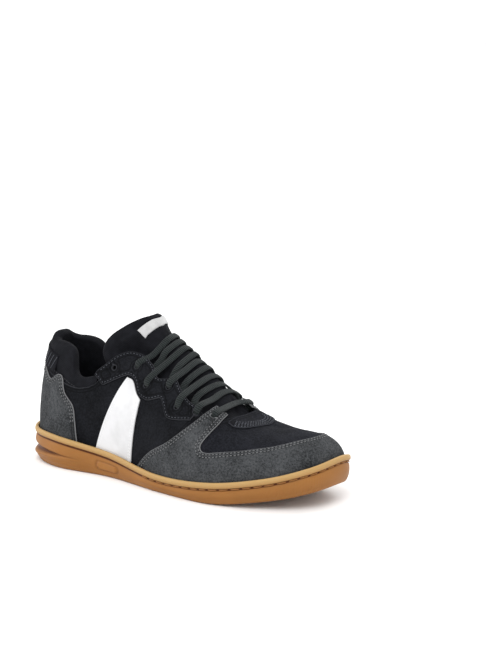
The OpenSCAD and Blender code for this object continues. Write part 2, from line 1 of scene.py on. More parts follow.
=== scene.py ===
"""The visible pieces of a low-cut indoor court shoe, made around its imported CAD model.

All shapes are worked out in millimetres on the same form as the CAD model and written in metres.
A place on the upper is (k, h): k runs from 0 at the heel counter-clockwise to 16 round the sole,
and h from 0 on the foot line to 1 on the crest, then on to 2 down the other side.
"""
import math

import bpy
import numpy as np
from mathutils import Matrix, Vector, geometry, noise


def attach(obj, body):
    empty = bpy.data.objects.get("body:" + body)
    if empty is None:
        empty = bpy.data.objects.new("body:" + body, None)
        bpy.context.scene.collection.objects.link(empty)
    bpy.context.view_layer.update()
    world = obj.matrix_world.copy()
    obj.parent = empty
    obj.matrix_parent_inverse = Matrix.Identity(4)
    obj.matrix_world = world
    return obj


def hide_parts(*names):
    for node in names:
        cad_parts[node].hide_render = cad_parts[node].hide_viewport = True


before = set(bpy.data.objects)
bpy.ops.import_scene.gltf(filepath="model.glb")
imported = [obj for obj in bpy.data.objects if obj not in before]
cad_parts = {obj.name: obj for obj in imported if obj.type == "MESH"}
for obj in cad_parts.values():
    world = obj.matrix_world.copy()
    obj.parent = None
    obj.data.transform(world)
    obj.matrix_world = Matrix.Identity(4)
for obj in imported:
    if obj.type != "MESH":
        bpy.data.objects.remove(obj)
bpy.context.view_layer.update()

# ------------ camera, floor and light

camera = bpy.data.objects.new("camera", bpy.data.cameras.new("camera"))
bpy.context.scene.collection.objects.link(camera)
camera.location = (0.7635, -1.0551, 0.3597)
aim = Vector((0, 0, 0.04)) - camera.location
camera.rotation_euler = aim.to_track_quat("-Z", "Y").to_euler()
camera.data.lens = 89.2
camera.data.sensor_width = 36
camera.data.shift_x = 0.095
camera.data.shift_y = 0.165
bpy.context.scene.camera = camera
bpy.context.scene.view_settings.view_transform = "Standard"


def add_light(name, place, target, size, power):
    light = bpy.data.objects.new(name, bpy.data.lights.new(name, "AREA"))
    light.data.shape = "SQUARE"
    light.data.size = size
    light.data.energy = power
    light.location = place
    light.rotation_euler = (Vector(target) - Vector(place)).to_track_quat("-Z", "Y").to_euler()
    bpy.context.scene.collection.objects.link(light)


add_light("key", (0.5, -1.1, 1.5), (0, 0, 0.05), 1.2, 15)
add_light("fill", (-1.4, -0.7, 0.8), (0, 0, 0.05), 1.4, 8)
add_light("rim", (0.2, 1.5, 1.2), (0, 0, 0.08), 1.2, 12)
world = bpy.data.worlds.new("studio")
world.use_nodes = True
world.node_tree.nodes["Background"].inputs["Color"].default_value = (1, 1, 1, 1)
world.node_tree.nodes["Background"].inputs["Strength"].default_value = 1.12
bpy.context.scene.world = world

MM = 0.001
LATERAL, MEDIAL = 1, -1

# ------------ the form

RIM = [
    (-150, 0), (-139, -25), (-105, -39), (-50, -38), (10, -51), (65, -56), (110, -43), (140, -22),
    (150, 9), (142, 34), (110, 51), (65, 54), (10, 41), (-50, 33), (-105, 37), (-139, 25),
]
# Rim height, ground height, crest x, y and z, roundness and foot line height at knots 0 to 8
STATION = [
    (31, 2, -98, 0, 172, 1.55, 22), (30, 0.7, -99, 0, 150, 1.9, 21.5), (29, 0, -72, 4, 134, 2, 20.5),
    (22.5, 0, -34, 9, 113, 2.25, 15), (15.5, 0, 7, 13, 99.5, 1.95, 9.5),
    (18.5, 0.5, 47, 14, 65, 2.25, 11.5), (26, 6.5, 80, 13, 54.5, 2.45, 17.5),
    (35, 13, 100, 12, 54, 2.65, 24), (40, 16, 108, 11, 54, 2.6, 27),
]
KNOTS = np.array([RIM[i] + STATION[min(i, 16 - i)] for i in range(16)], float)
FOOT_INSET = 5.0


def spline(p, q, r, s, t):
    """A smooth curve from q to r with the neighbours p and s."""
    square, cube = 2 * p - 5 * q + 4 * r - s, 3 * q - p - 3 * r + s
    return 0.5 * (2 * q + (r - p) * t + square * t * t + cube * t ** 3)


def through(points, counts):
    """A smooth curve through points, with counts[i] steps from point i on."""
    ends = np.vstack([2 * points[0] - points[1], points, 2 * points[-1] - points[-2]])
    line = []
    for i, count in enumerate(counts):
        t = np.linspace(0, 1, count, endpoint=False)[:, None]
        line.append(spline(ends[i], ends[i + 1], ends[i + 2], ends[i + 3], t))
    return np.vstack(line + [points[-1:]])


def at(k):
    """All that the form knows at k, one row for each k."""
    k = np.asarray(k, float)
    i = np.floor(k).astype(int)
    t = (k - i)[..., None]
    return spline(*(KNOTS[(i + j) % 16] for j in (-1, 0, 1, 2)), t)


def outward(k):
    """Horizontal unit vectors out from the sole's outline."""
    step = at(np.asarray(k) + 0.01)[..., :2] - at(np.asarray(k) - 0.01)[..., :2]
    out = np.stack([step[..., 1], -step[..., 0]], -1)
    return out / np.linalg.norm(out, axis=-1, keepdims=True)


def skin(k, h):
    """Points on the form, in millimetres."""
    k, h = np.broadcast_arrays(np.asarray(k, float), np.asarray(h, float))
    over = h > 1
    k = np.where(over, 16 - k, k)
    h = np.where(over, 2 - h, h)
    a = at(k)
    foot = a[..., :2] - FOOT_INSET * outward(k)
    power = 2 / a[..., 7]
    c = np.maximum(np.cos(h * math.pi / 2), 0) ** power
    s = np.maximum(np.sin(h * math.pi / 2), 0) ** power
    x = a[..., 4] + (foot[..., 0] - a[..., 4]) * c
    y = a[..., 5] + (foot[..., 1] - a[..., 5]) * c
    z = a[..., 8] + (a[..., 6] - a[..., 8]) * s
    return np.stack([x, y, z], -1)


def run_along(path):
    """The distance along a line of points, from 0 at its start."""
    return np.concatenate([[0], np.cumsum(np.linalg.norm(np.diff(path, axis=0), axis=1))])


def unit(v):
    """Vectors at length 1."""
    return v / np.maximum(np.linalg.norm(v, axis=-1, keepdims=True), 1e-9)


def normal(k, h):
    """Unit vectors out from the form."""
    k, h = np.broadcast_arrays(np.asarray(k, float), np.asarray(h, float))
    h = np.where(np.abs(h - 1) < 0.02, np.where(h > 1, 1.02, 0.98), h)
    along = skin(k + 0.02, h) - skin(k - 0.02, h)
    up = skin(k, h + 0.01) - skin(k, np.maximum(h - 0.01, 0))
    return unit(np.cross(along, up))


def form(k, h, d=0.0):
    """Points at the distance d out from the form."""
    return skin(k, h) + np.asarray(d, float)[..., None] * normal(k, h)


def smooth(t):
    """A soft step from 0 to 1."""
    t = np.clip(t, 0, 1)
    return t * t * (3 - 2 * t)


def ripple(points, size, seed):
    """Gentle noise from -1 to 1 at points in millimetres, with waves of about the given size."""
    return np.array([noise.noise(Vector(p) / size + Vector((seed, 0, 0))) for p in points])


# ------------ materials


class Shader:
    """A node material with one Principled shader, and short ways to add nodes."""

    def __init__(self, name):
        self.material = bpy.data.materials.new(name)
        self.material.use_nodes = True
        self.material["look"] = name
        self.tree = self.material.node_tree
        self.shader = self.tree.nodes["Principled BSDF"]
        self.place = self.node("ShaderNodeTexCoord").outputs["Object"]

    def node(self, kind, **settings):
        made = self.tree.nodes.new(kind)
        for key, value in settings.items():
            setattr(made, key, value)
        return made

    def plug(self, socket, value):
        if isinstance(value, bpy.types.NodeSocket):
            self.tree.links.new(value, socket)
        elif socket.type == "RGBA":
            socket.default_value = (*value, 1)
        else:
            socket.default_value = value

    def set(self, **values):
        for key, value in values.items():
            self.plug(self.shader.inputs[key.replace("_", " ")], value)

    def noise(self, scale, detail=3.0, roughness=0.55):
        made = self.node("ShaderNodeTexNoise")
        self.plug(made.inputs["Vector"], self.place)
        for key, value in (("Scale", scale), ("Detail", detail), ("Roughness", roughness)):
            made.inputs[key].default_value = value
        return made.outputs["Fac"]

    def cells(self, scale):
        made = self.node("ShaderNodeTexVoronoi")
        self.plug(made.inputs["Vector"], self.place)
        made.inputs["Scale"].default_value = scale
        return made.outputs["Distance"]

    def math(self, operation, a, b=0.0):
        made = self.node("ShaderNodeMath", operation=operation)
        self.plug(made.inputs[0], a)
        self.plug(made.inputs[1], b)
        return made.outputs[0]

    def fit(self, value, low, high, to_low=0.0, to_high=1.0):
        made = self.node("ShaderNodeMapRange", interpolation_type="SMOOTHSTEP")
        for socket, number in zip(made.inputs, (value, low, high, to_low, to_high)):
            self.plug(socket, number)
        return made.outputs["Result"]

    def mix(self, factor, a, b):
        made = self.node("ShaderNodeMix", data_type="RGBA")
        self.plug(made.inputs["Factor"], factor)
        self.plug(made.inputs[6], a)
        self.plug(made.inputs[7], b)
        return made.outputs[2]

    def attribute(self, name):
        return self.node("ShaderNodeAttribute", attribute_name=name).outputs["Fac"]

    def bump(self, height, distance, strength=1.0, normal=None):
        made = self.node("ShaderNodeBump")
        self.plug(made.inputs["Height"], height)
        made.inputs["Distance"].default_value = distance
        made.inputs["Strength"].default_value = strength
        if normal:
            self.plug(made.inputs["Normal"], normal)
        return made.outputs["Normal"]


STITCH_INSETS = (1.7, 3.9)


def suede(name, dark, light, edge, fuzz):
    """Napped leather: brushed patches, short fibres, a pale cut edge and painted shade along the stitch
    rows.
    """
    s = Shader(name)
    patches = s.noise(40, 2)
    nap = s.noise(620, 5, 0.7)
    fibre = s.noise(2600, 2, 0.7)
    tone = s.math("ADD", s.math("MULTIPLY", patches, 0.35), s.math("MULTIPLY", nap, 0.65))
    tone = s.math("ADD", tone, s.math("MULTIPLY", s.math("SUBTRACT", fibre, 0.5), 0.55))
    colour = s.mix(s.fit(tone, 0.3, 0.7), dark, light)
    inside = s.attribute("edge_mm")
    # painted shade: a darker line along each stitch row, where the thread pulls the nap down
    for row in STITCH_INSETS:
        away = s.math("ABSOLUTE", s.math("SUBTRACT", inside, row))
        colour = s.mix(s.fit(away, 0.15, 0.8, 0.7, 0.0), colour, tuple(0.4 * c for c in dark))
    colour = s.mix(s.fit(inside, 0.15, 0.7, 0.85, 0.0), colour, edge)
    bumped = s.bump(nap, 0.0008, 0.7)
    bumped = s.bump(fibre, 0.0004, 0.7, bumped)
    s.set(Base_Color=colour, Roughness=0.93, Normal=bumped)
    s.set(Sheen_Weight=fuzz, Sheen_Roughness=0.45, Sheen_Tint=tuple(min(1, 2.2 * c) for c in light))
    s.set(Specular_IOR_Level=0.1)
    return s.material


def leather(name, base, shade):
    """Smooth finished leather with fine grain and a slightly soiled tone."""
    s = Shader(name)
    grain = s.cells(1500)
    cloud = s.noise(45, 3)
    colour = s.mix(s.fit(cloud, 0.4, 0.8), base, shade)
    colour = s.mix(s.fit(s.attribute("edge_mm"), 0.1, 0.6, 0.4, 0.0), colour, shade)
    bumped = s.bump(grain, 0.00012, 0.6)
    bumped = s.bump(s.noise(330, 3), 0.0002, 0.5, bumped)
    s.set(Base_Color=colour, Roughness=s.fit(cloud, 0.2, 0.8, 0.38, 0.5), Normal=bumped)
    s.set(Coat_Weight=0.08, Coat_Roughness=0.4)
    return s.material


def knit(name, dark, light, pitch, fuzz=0.2):
    """A fine textile: two crossing sets of threads, pitch metres apart."""
    s = Shader(name)
    threads = []
    for direction in ("DIAGONAL", "Z"):
        wave = s.node("ShaderNodeTexWave", bands_direction=direction)
        s.plug(wave.inputs["Vector"], s.place)
        wave.inputs["Scale"].default_value = 0.31 / pitch
        wave.inputs["Distortion"].default_value = 0.6
        wave.inputs["Detail Scale"].default_value = 2
        threads.append(wave.outputs["Fac"])
    weave = s.math("MULTIPLY", *threads)
    mottle = s.noise(160, 3)
    tone = s.math("ADD", s.math("MULTIPLY", weave, 0.45), s.math("MULTIPLY", mottle, 0.55))
    colour = s.mix(s.fit(tone, 0.15, 0.8), dark, light)
    bumped = s.bump(weave, 0.0003, 0.6)
    bumped = s.bump(s.noise(2200, 2), 0.0002, 0.4, bumped)
    s.set(Base_Color=colour, Roughness=0.88, Normal=bumped, Specular_IOR_Level=0.12)
    s.set(Sheen_Weight=fuzz, Sheen_Roughness=0.5, Sheen_Tint=tuple(min(1, 2 * c) for c in light))
    return s.material


def gum(name, wall, shade_and_speck, band):
    """Translucent-looking gum rubber: a paler rim over a warmer wall, the rim partly its own tone and partly
    a painted highlight, with painted shade in its hollows.
    """
    s = Shader(name)
    cloud = s.noise(26, 3)
    speck = s.noise(1900, 2)
    colour = s.mix(s.fit(cloud, 0.3, 0.75), wall, tuple(0.86 * c for c in wall))
    # paler rim: partly the rubber's own tone, partly a painted highlight that is palest at its top edge
    colour = s.mix(s.attribute("band"), colour, band)
    # painted shade in the notch, the groove, the tread channels and along the ground edge
    colour = s.mix(s.attribute("hollow"), colour, shade_and_speck)
    colour = s.mix(s.fit(speck, 0.62, 0.8, 0.0, 0.25), colour, shade_and_speck)
    bumped = s.bump(s.noise(700, 3), 0.00025, 0.35)
    s.set(Base_Color=colour, Roughness=s.fit(cloud, 0.2, 0.8, 0.42, 0.58), Normal=bumped)
    s.set(Specular_IOR_Level=0.2, Subsurface_Weight=0.12, Subsurface_Scale=0.003)
    s.set(Subsurface_Radius=(1.0, 0.5, 0.25))
    return s.material


def braid(name, dark, light):
    """A flat woven lace: herringbone rows across its width, from the lace's own u and v."""
    s = Shader(name)
    uv = s.node("ShaderNodeSeparateXYZ")
    s.plug(uv.inputs[0], s.node("ShaderNodeTexCoord").outputs["UV"])
    chevron = s.math("PINGPONG", s.math("MULTIPLY", uv.outputs[0], 8), 1)
    run = s.math("ADD", s.math("MULTIPLY", uv.outputs[1], 4.2), s.math("MULTIPLY", chevron, 2.2))
    rows = s.math("ADD", s.math("MULTIPLY", s.math("SINE", run), 0.5), 0.5)
    cords = s.math("ABSOLUTE", s.math("SINE", s.math("MULTIPLY", uv.outputs[0], 8 * math.pi)))
    weave = s.math("MULTIPLY", rows, s.fit(cords, 0.0, 0.5, 0.45, 1.0))
    tone = s.math("ADD", s.math("MULTIPLY", weave, 0.6), s.math("MULTIPLY", s.noise(700, 3), 0.4))
    bumped = s.bump(weave, 0.0005, 0.8)
    bumped = s.bump(s.noise(3000, 2), 0.0002, 0.5, bumped)
    s.set(Base_Color=s.mix(s.fit(tone, 0.1, 0.75), dark, light), Roughness=0.82, Normal=bumped)
    s.set(Sheen_Weight=0.08, Sheen_Roughness=0.5, Specular_IOR_Level=0.15)
    return s.material


def plain_fibre(name, dark, light, scale=900, roughness=0.9):
    """Board, foam, thread or moulded plastic: mottled, with a fine rough surface."""
    s = Shader(name)
    speck = s.noise(scale, 3)
    s.set(
        Base_Color=s.mix(s.fit(speck, 0.3, 0.7), dark, light),
        Roughness=roughness,
        Normal=s.bump(speck, 0.0003, 0.5),
    )
    return s.material


GREY = suede("grey_suede", (0.01, 0.0108, 0.0118), (0.077, 0.0805, 0.085), (0.21, 0.21, 0.215), 0.08)
BLACK = suede("black_suede", (0.0012, 0.0014, 0.002), (0.012, 0.0128, 0.016), (0.045, 0.046, 0.052), 0.03)
NAVY = suede("navy_suede", (0.0015, 0.0017, 0.0028), (0.0165, 0.0175, 0.023), (0.045, 0.047, 0.055), 0.03)
WHITE = leather("white_leather", (0.6, 0.6, 0.61), (0.5, 0.5, 0.505))
TEXTILE = knit("black_textile", (0.0024, 0.0026, 0.0038), (0.0125, 0.013, 0.0168), 0.0009, 0.04)
LINING = knit("lining_textile", (0.0025, 0.0025, 0.0032), (0.012, 0.012, 0.0145), 0.0013, 0.04)
LABEL = knit("label_weave", (0.42, 0.42, 0.42), (0.64, 0.64, 0.64), 0.0006)
# gum colours: the wall, the painted shade that also colours the specks, and the paler rim, which is partly a
# painted highlight
GUM = gum("gum_rubber", (0.285, 0.12, 0.028), (0.085, 0.021, 0.002), (0.395, 0.247, 0.096))
LACE = braid("lace_weave", (0.003, 0.0045, 0.0045), (0.021, 0.027, 0.027))
DARK_THREAD = plain_fibre("dark_thread", (0.01, 0.01, 0.012), (0.035, 0.035, 0.04), 2500)
GREY_THREAD = plain_fibre("grey_thread", (0.085, 0.087, 0.09), (0.16, 0.162, 0.165), 2500)
PALE_THREAD = plain_fibre("pale_thread", (0.034, 0.037, 0.046), (0.08, 0.085, 0.1), 2500)
WHITE_THREAD = plain_fibre("white_thread", (0.6, 0.6, 0.6), (0.8, 0.8, 0.8), 2500)
SOLE_THREAD = plain_fibre("sole_thread", (0.19, 0.07, 0.014), (0.3, 0.13, 0.035), 2500)
FOAM = plain_fibre("foam", (0.52, 0.48, 0.38), (0.66, 0.62, 0.52), 700)
BOARD = plain_fibre("board", (0.006, 0.006, 0.007), (0.018, 0.018, 0.021), 400)
STIFFENER = plain_fibre("stiffener", (0.45, 0.43, 0.38), (0.6, 0.58, 0.52), 300, 0.7)
TIP = plain_fibre("lace_tip", (0.01, 0.01, 0.01), (0.02, 0.02, 0.02), 500, 0.25)

floor_look = plain_fibre("floor", (0.9, 0.9, 0.9), (0.92, 0.92, 0.92), 60)
bpy.ops.mesh.primitive_plane_add(size=300)
floor = bpy.context.object
floor.name = "floor"
floor.data.materials.append(floor_look)


# ------------ meshes


def add_mesh(name, points, faces, material, body="shoe", replaces=(), uv=None, **values):
    """Makes a smooth-shaded piece from points in millimetres, with number attributes per point."""
    mesh = bpy.data.meshes.new(name)
    mesh.from_pydata((np.asarray(points) * MM).tolist(), [], [tuple(map(int, f)) for f in faces])
    mesh.validate()
    mesh.shade_smooth()
    for key, numbers in values.items():
        layer = mesh.attributes.new(key, "FLOAT", "POINT")
        layer.data.foreach_set("value", np.asarray(numbers, np.float32))
    if uv is not None:
        corners = np.zeros(len(mesh.loops), np.int32)
        mesh.loops.foreach_get("vertex_index", corners)
        mesh.uv_layers.new(name="UVMap").data.foreach_set("uv", uv[corners].astype(np.float32).ravel())
    mesh.materials.append(material)
    made = bpy.data.objects.new(name, mesh)
    bpy.context.scene.collection.objects.link(made)
    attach(made, body)
    if replaces:
        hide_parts(*replaces)
    return made


def grid_faces(columns, rows, closed_columns=False, closed_rows=False):
    """Quads of a grid of points stored column by column."""
    faces = []
    for i in range(columns if closed_columns else columns - 1):
        for j in range(rows if closed_rows else rows - 1):
            a, b = (i % columns) * rows, ((i + 1) % columns) * rows
            up = (j + 1) % rows
            faces.append((a + j, b + j, b + up, a + up))
    return faces


# The plane in which outlines are filled: millimetres for one unit of k and of h
PLANE = np.array([45.0, 80.0])


def smooth_line(points, step=1.2):
    """A smooth open curve through (k, h) points, with a point every step millimetres or so."""
    points = np.asarray(points, float)
    lengths = np.linalg.norm(np.diff(points, axis=0) * PLANE, axis=1)
    return through(points, [max(2, int(length / step) + 1) for length in lengths])


def outline(*parts):
    """A closed counter-clockwise outline of smooth parts, with straight lines where ends don't meet."""
    joined = []
    for part, following in zip(parts, parts[1:] + parts[:1]):
        joined.append(smooth_line(part)[:-1])
        if not np.allclose(part[-1], following[0]):
            joined.append(smooth_line([part[-1], following[0]])[:-1])
    return np.vstack(joined)


def mirrored(line, side):
    """The same line on the medial side, still counter-clockwise."""
    return line if side == LATERAL else np.column_stack([16 - line[::-1, 0], line[::-1, 1]])


def move_on_form(line, vectors):
    """(k, h) points moved by vectors in millimetres that lie in the surface."""
    k, h = line.T
    e = 0.004
    along = (skin(k + e, h) - skin(k - e, h)) / (2 * e)
    up = (skin(k, h + e) - skin(k, np.maximum(h - e, 0))) / (h + e - np.maximum(h - e, 0))[:, None]
    aa, au, uu = (along * along).sum(1), (along * up).sum(1), (up * up).sum(1)
    va, vu = (vectors * along).sum(1), (vectors * up).sum(1)
    det = np.maximum(aa * uu - au * au, 1e-6)
    return line + np.column_stack([(va * uu - vu * au) / det, (vu * aa - va * au) / det])


def inset(line, distance, closed=True):
    """The line moved to its left over the form: into a counter-clockwise outline."""
    places = skin(*line.T)
    if closed:
        tangent = np.roll(places, -1, 0) - np.roll(places, 1, 0)
    else:
        tangent = np.gradient(places, axis=0)
    left = unit(np.cross(normal(*line.T), tangent))
    return move_on_form(line, left * distance)


def circle_on_form(k, h, radius, count=18):
    """The (k, h) outline of a round hole."""
    angles = np.arange(count) * 2 * math.pi / count
    n = normal(k, h)
    a = unit(np.cross(n, (0, 1, 0.3)))
    b = np.cross(n, a)
    vectors = radius * (np.cos(angles)[:, None] * a + np.sin(angles)[:, None] * b)
    return move_on_form(np.tile((float(k), float(h)), (count, 1)), vectors)


def inside(points, loop, holes=()):
    """Which points of the plane lie inside a closed loop and outside its holes."""
    a, b = loop, np.roll(loop, -1, 0)
    x, y = points[:, :1], points[:, 1:]
    crosses = (a[:, 1] > y) != (b[:, 1] > y)
    with np.errstate(divide="ignore", invalid="ignore"):
        at_x = a[:, 0] + (y - a[:, 1]) * (b[:, 0] - a[:, 0]) / (b[:, 1] - a[:, 1])
    keep = (crosses & (x < at_x)).sum(1) % 2 == 1
    for hole in holes:
        keep &= ~inside(points, hole)
    return keep


def nearest(points, targets):
    """Distance from each point to the nearest target."""
    best = np.full(len(points), 1e9)
    for start in range(0, len(targets), 64):
        gap = np.linalg.norm(points[:, None] - targets[None, start:start + 64], axis=2)
        best = np.minimum(best, gap.min(1))
    return best


def fill_outline(loop, holes=(), pitch=2.2, rings=(0.3, 0.7, 1.3)):
    """Triangles that fill an outline on the form. Returns (k, h) points, faces and edge distances."""
    loops = [loop, *holes]
    border = np.vstack(loops)
    border_places = skin(*border.T)
    extra = []
    for line in loops:
        for ring in rings:
            moved = inset(line, ring)
            gap = nearest(skin(*moved.T), border_places)
            extra.append(moved[gap > 0.8 * ring])
    low, high = (loop * PLANE).min(0), (loop * PLANE).max(0)
    xs = np.arange(low[0], high[0], pitch)
    ys = np.arange(low[1], high[1], pitch * 0.87)
    field = np.array([(x + (pitch / 2) * (j % 2), y) for j, y in enumerate(ys) for x in xs]) / PLANE
    gap = nearest(skin(*field.T), border_places)
    extra.append(field[gap > rings[-1] + 0.6 * pitch])
    extra = np.vstack(extra)
    points = np.vstack([border, extra[inside(extra, loop, holes)]])
    edges, start = [], 0
    for line in loops:
        n = len(line)
        edges += [(start + i, start + (i + 1) % n) for i in range(n)]
        start += n
    flat = [Vector(p) for p in points * PLANE]
    made, _, faces, *_ = geometry.delaunay_2d_cdt(flat, edges, [], 0, 1e-5)
    points = np.array([tuple(v) for v in made]) / PLANE
    centres = np.array([points[list(f)].mean(0) for f in faces])
    faces = [f for f, keep in zip(faces, inside(centres, loop, holes)) if keep]
    used = sorted({v for f in faces for v in f})
    order = {v: i for i, v in enumerate(used)}
    points = points[used]
    distance = nearest(skin(*points.T), border_places)
    return points, [tuple(order[v] for v in f) for f in faces], distance


def solid_faces(faces, count):
    """The faces of both skins of a sheet and of the wall between them."""
    seen = {}
    for f in faces:
        for i in range(len(f)):
            a, b = f[i], f[(i + 1) % len(f)]
            seen[(a, b)] = seen.get((a, b), 0) + 1
    walls = [(b, a, a + count, b + count) for a, b in seen if (b, a) not in seen]
    return list(faces) + [tuple(v + count for v in reversed(f)) for f in faces] + walls


def add_panel(name, loop, top, bottom, material, holes=(), roll=0.55, wave=0.25, lift=None, seed=0, **more):
    """A sheet piece that lies on the form, with a rolled edge, from bottom to top millimetres out."""
    points, faces, distance = fill_outline(loop, holes)
    k, h = points.T
    rounded = np.clip(1 - distance / roll, 0, 1)
    out = top - roll * (1 - np.sqrt(np.maximum(1 - rounded ** 2, 0)))
    out = out + wave * ripple(skin(k, h), 17.0, seed) * smooth(distance / 5)
    if lift is not None:
        out = out + lift(k, h, distance)
    both = np.vstack([form(k, h, out), form(k, h, bottom)])
    edge = np.concatenate([distance, np.zeros(len(points))])
    add_mesh(name, both, solid_faces(faces, len(points)), material, edge_mm=edge, **more)


def seams(parts, distances, side=LATERAL):
    """Lines inside the edges of an outline's parts, one for each part and distance."""
    lines = [mirrored(smooth_line(part), side) for part in parts]
    return [inset(line, d, closed=False) for line in lines for d in distances]


def interpolate(at_mm, run, rows):
    return np.array([np.interp(at_mm, run, column) for column in rows.T])


def add_tube_faces(faces, base, rings, sides):
    """Closes a tube of rings that starts at point number base, with a cap at each end."""
    for ring in range(rings - 1):
        for j in range(sides):
            a, b = base + ring * sides + j, base + ring * sides + (j + 1) % sides
            faces.append((a, b, b + sides, a + sides))
    faces.append(tuple(base + j for j in reversed(range(sides))))
    faces.append(tuple(base + (rings - 1) * sides + j for j in range(sides)))


def add_stitches(name, lines, out, material, pitch=3.0, length=2.2, thick=0.75):
    """Rows of single stitches along (k, h) lines, each dipping into the material at its ends."""
    points, faces = [], []
    sides = 6
    profile = ((0.0, 0.45, -0.5), (0.25, 1.0, 0.05), (0.75, 1.0, 0.05), (1.0, 0.45, -0.5))
    for line in lines:
        k, h = line.T
        places = form(k, h, out)
        normals = normal(k, h)
        run = run_along(places)
        for start in np.arange(0.4, run[-1] - length, pitch):
            base = len(points)
            first, last = (interpolate(start + f * length, run, places) for f in (0, 1))
            n = unit(interpolate(start + length / 2, run, normals))
            side = np.cross(unit(last - first), n)
            for f, size, rise in profile:
                centre = first + (last - first) * f + n * rise * thick
                for j in range(sides):
                    a = 2 * math.pi * j / sides
                    points.append(centre + size * thick / 2 * (math.cos(a) * side + math.sin(a) * n))
            add_tube_faces(faces, base, len(profile), sides)
    add_mesh(name, points, faces, material)


# ------------ sole

ROUND = 720
RIB_PITCH = 3.2
around = np.arange(ROUND) * 16 / ROUND


def ring_points(k, inset_mm, z):
    """Points at height z, inset_mm inside the sole's outline."""
    a = at(k)
    xy = a[..., :2] - np.asarray(inset_mm)[..., None] * outward(k)
    return np.concatenate([xy, np.asarray(z)[..., None]], -1)


def plate(columns, rows, inset_mm, height):
    """A grid across the sole inside its outline, its points column by column, and its border."""
    ks, vs = np.linspace(0, 8, columns), np.linspace(0, 1, rows)
    near, far = (ring_points(at_k, inset_mm, height(ks)) for at_k in (ks, 16 - ks))
    points = (near[:, None] + (far - near)[:, None] * vs[None, :, None]).reshape(-1, 3)
    return points, ring_points(around[::3], inset_mm, height(around[::3]))


def ground(k):
    return np.maximum(0, at(k)[..., 3])


def rim(k):
    return at(k)[..., 2]


def foot_line(k):
    return at(k)[..., 8]


BAND_TALL, GROOVE = 4.9, 5.7  # the pale band's end and the groove's middle, down from the rim
# The cup's rim band, from below its groove to inside the lip: [inset, distance down from the rim]
LIP_ROWS = [
    (1.3, 7.4), (1.45, 6.95), (1.8, 6.6), (2.05, 6.35), (2.15, 5.8), (2.0, 5.25), (1.5, 4.95), (0.9, 4.75),
    (0.45, 4.5), (0.2, 4.1), (0.05, 3.6), (0, 3.0), (0, 2.3), (0.08, 1.7), (0.25, 1.0), (0.5, 0.5),
    (1.0, 0.1), (1.7, 0), (2.4, 0.05), (2.9, 0.3), (3.2, 1.0), (3.4, 2.2),
]
# The edge of the underside: [inset, distance up from the ground line]
LOW_ROWS = [(6.5, 1.2), (5.5, 0), (4.6, 0.1), (3.9, 0.5), (3.2, 1.2), (2.6, 2.2), (2.2, 3.4)]
WALL_ROWS = 22
STITCH_PITCH, STITCH_SHARE = 9.0, 0.8
HEEL_END = 2.7  # k where the round heel passes into the straight side


def make_cupsole():
    low, high = ground(around), rim(around)
    from_heel = np.minimum(around, 16 - around)
    rows, band, hollow = [], [], []

    def add_row(inset_mm, z, pale, dark):
        rows.append(ring_points(around, inset_mm, z))
        band.append(np.broadcast_to(pale, ROUND))
        hollow.append(np.broadcast_to(dark, ROUND))

    for inset_mm, up in LOW_ROWS:
        # painted shade along the ground edge, darker on the rows nearest the floor
        add_row(inset_mm, low + up, 0, 0.25 if up < 1 else 0.05)
    bottom, top = low + LOW_ROWS[-1][1], high - LIP_ROWS[0][1]
    middle = (bottom + top) / 2
    heel = smooth((HEEL_END - from_heel) / 0.9)
    for j in range(1, WALL_ROWS):
        t = j / WALL_ROWS
        z = bottom + (top - bottom) * t
        bow = math.sin(math.pi * t)
        inset_mm = (2.2 - 0.9 * t - 0.7 * bow) * (1 - 0.85 * heel * bow ** 0.5)
        # a notch round the heel runs out along both sides, with a lip below it
        tall = 4.2 * smooth((HEEL_END - from_heel) / 1.9)
        notch = smooth(1.4 - 1.4 * np.abs(z - middle) / np.maximum(tall, 0.01))
        notch = notch * smooth((HEEL_END - 0.1 - from_heel) / 0.9)
        lip = heel * smooth(1 - np.abs(z - middle + tall + 1.4) / 2.2)
        # a plain raised lozenge on each side of the waist
        off = abs(t - 0.5)
        across = np.maximum(np.abs(from_heel - 3.0) / 0.2 + 0.4 * off, off / 0.27)
        lozenge = smooth((1 - across) / 0.12)
        edge = smooth((1.25 - across) / 0.12) - lozenge
        # fine ribs in front of the ball of the foot
        ribs = smooth((from_heel - 5.9) / 0.2) * smooth((7.4 - from_heel) / 0.2)
        ribs = ribs * smooth((0.62 - abs(t - 0.45)) / 0.1)
        ribs = ribs * (0.5 + 0.5 * np.sin(around * PLANE[0] * 2 * math.pi / RIB_PITCH))
        depth = inset_mm + 2.8 * notch - 1.0 * lip - 0.9 * lozenge + 0.3 * edge - 0.35 * ribs
        # painted shade in the heel notch and in the groove round each lozenge, and a little painted shade
        # towards the bottom of the wall outside the lozenges
        add_row(depth, z, 0, np.clip(notch + 0.3 * edge + 0.12 * (1 - lozenge) * smooth(1 - t), 0, 1))
    for inset_mm, down in LIP_ROWS:
        # the rim strip is paler, partly its own tone and partly a painted highlight that is palest at its
        # top edge; the groove below it gets full painted shade
        pale = 1 - 0.45 * smooth((down - 1.2) / 3.4) if down < BAND_TALL else 0
        add_row(inset_mm, high - down, pale, 1 if BAND_TALL < down < 6.7 else 0)
    add_row(3.4, foot_line(around) - 1, 1, 0)
    points = np.stack(rows, 1).reshape(-1, 3)
    faces = grid_faces(ROUND, len(rows), closed_columns=True)
    add_mesh(
        "cupsole_wall", points, faces, GUM, replaces=("cupsole",),
        band=np.stack(band, 1).ravel(), hollow=np.stack(hollow, 1).ravel(),
    )


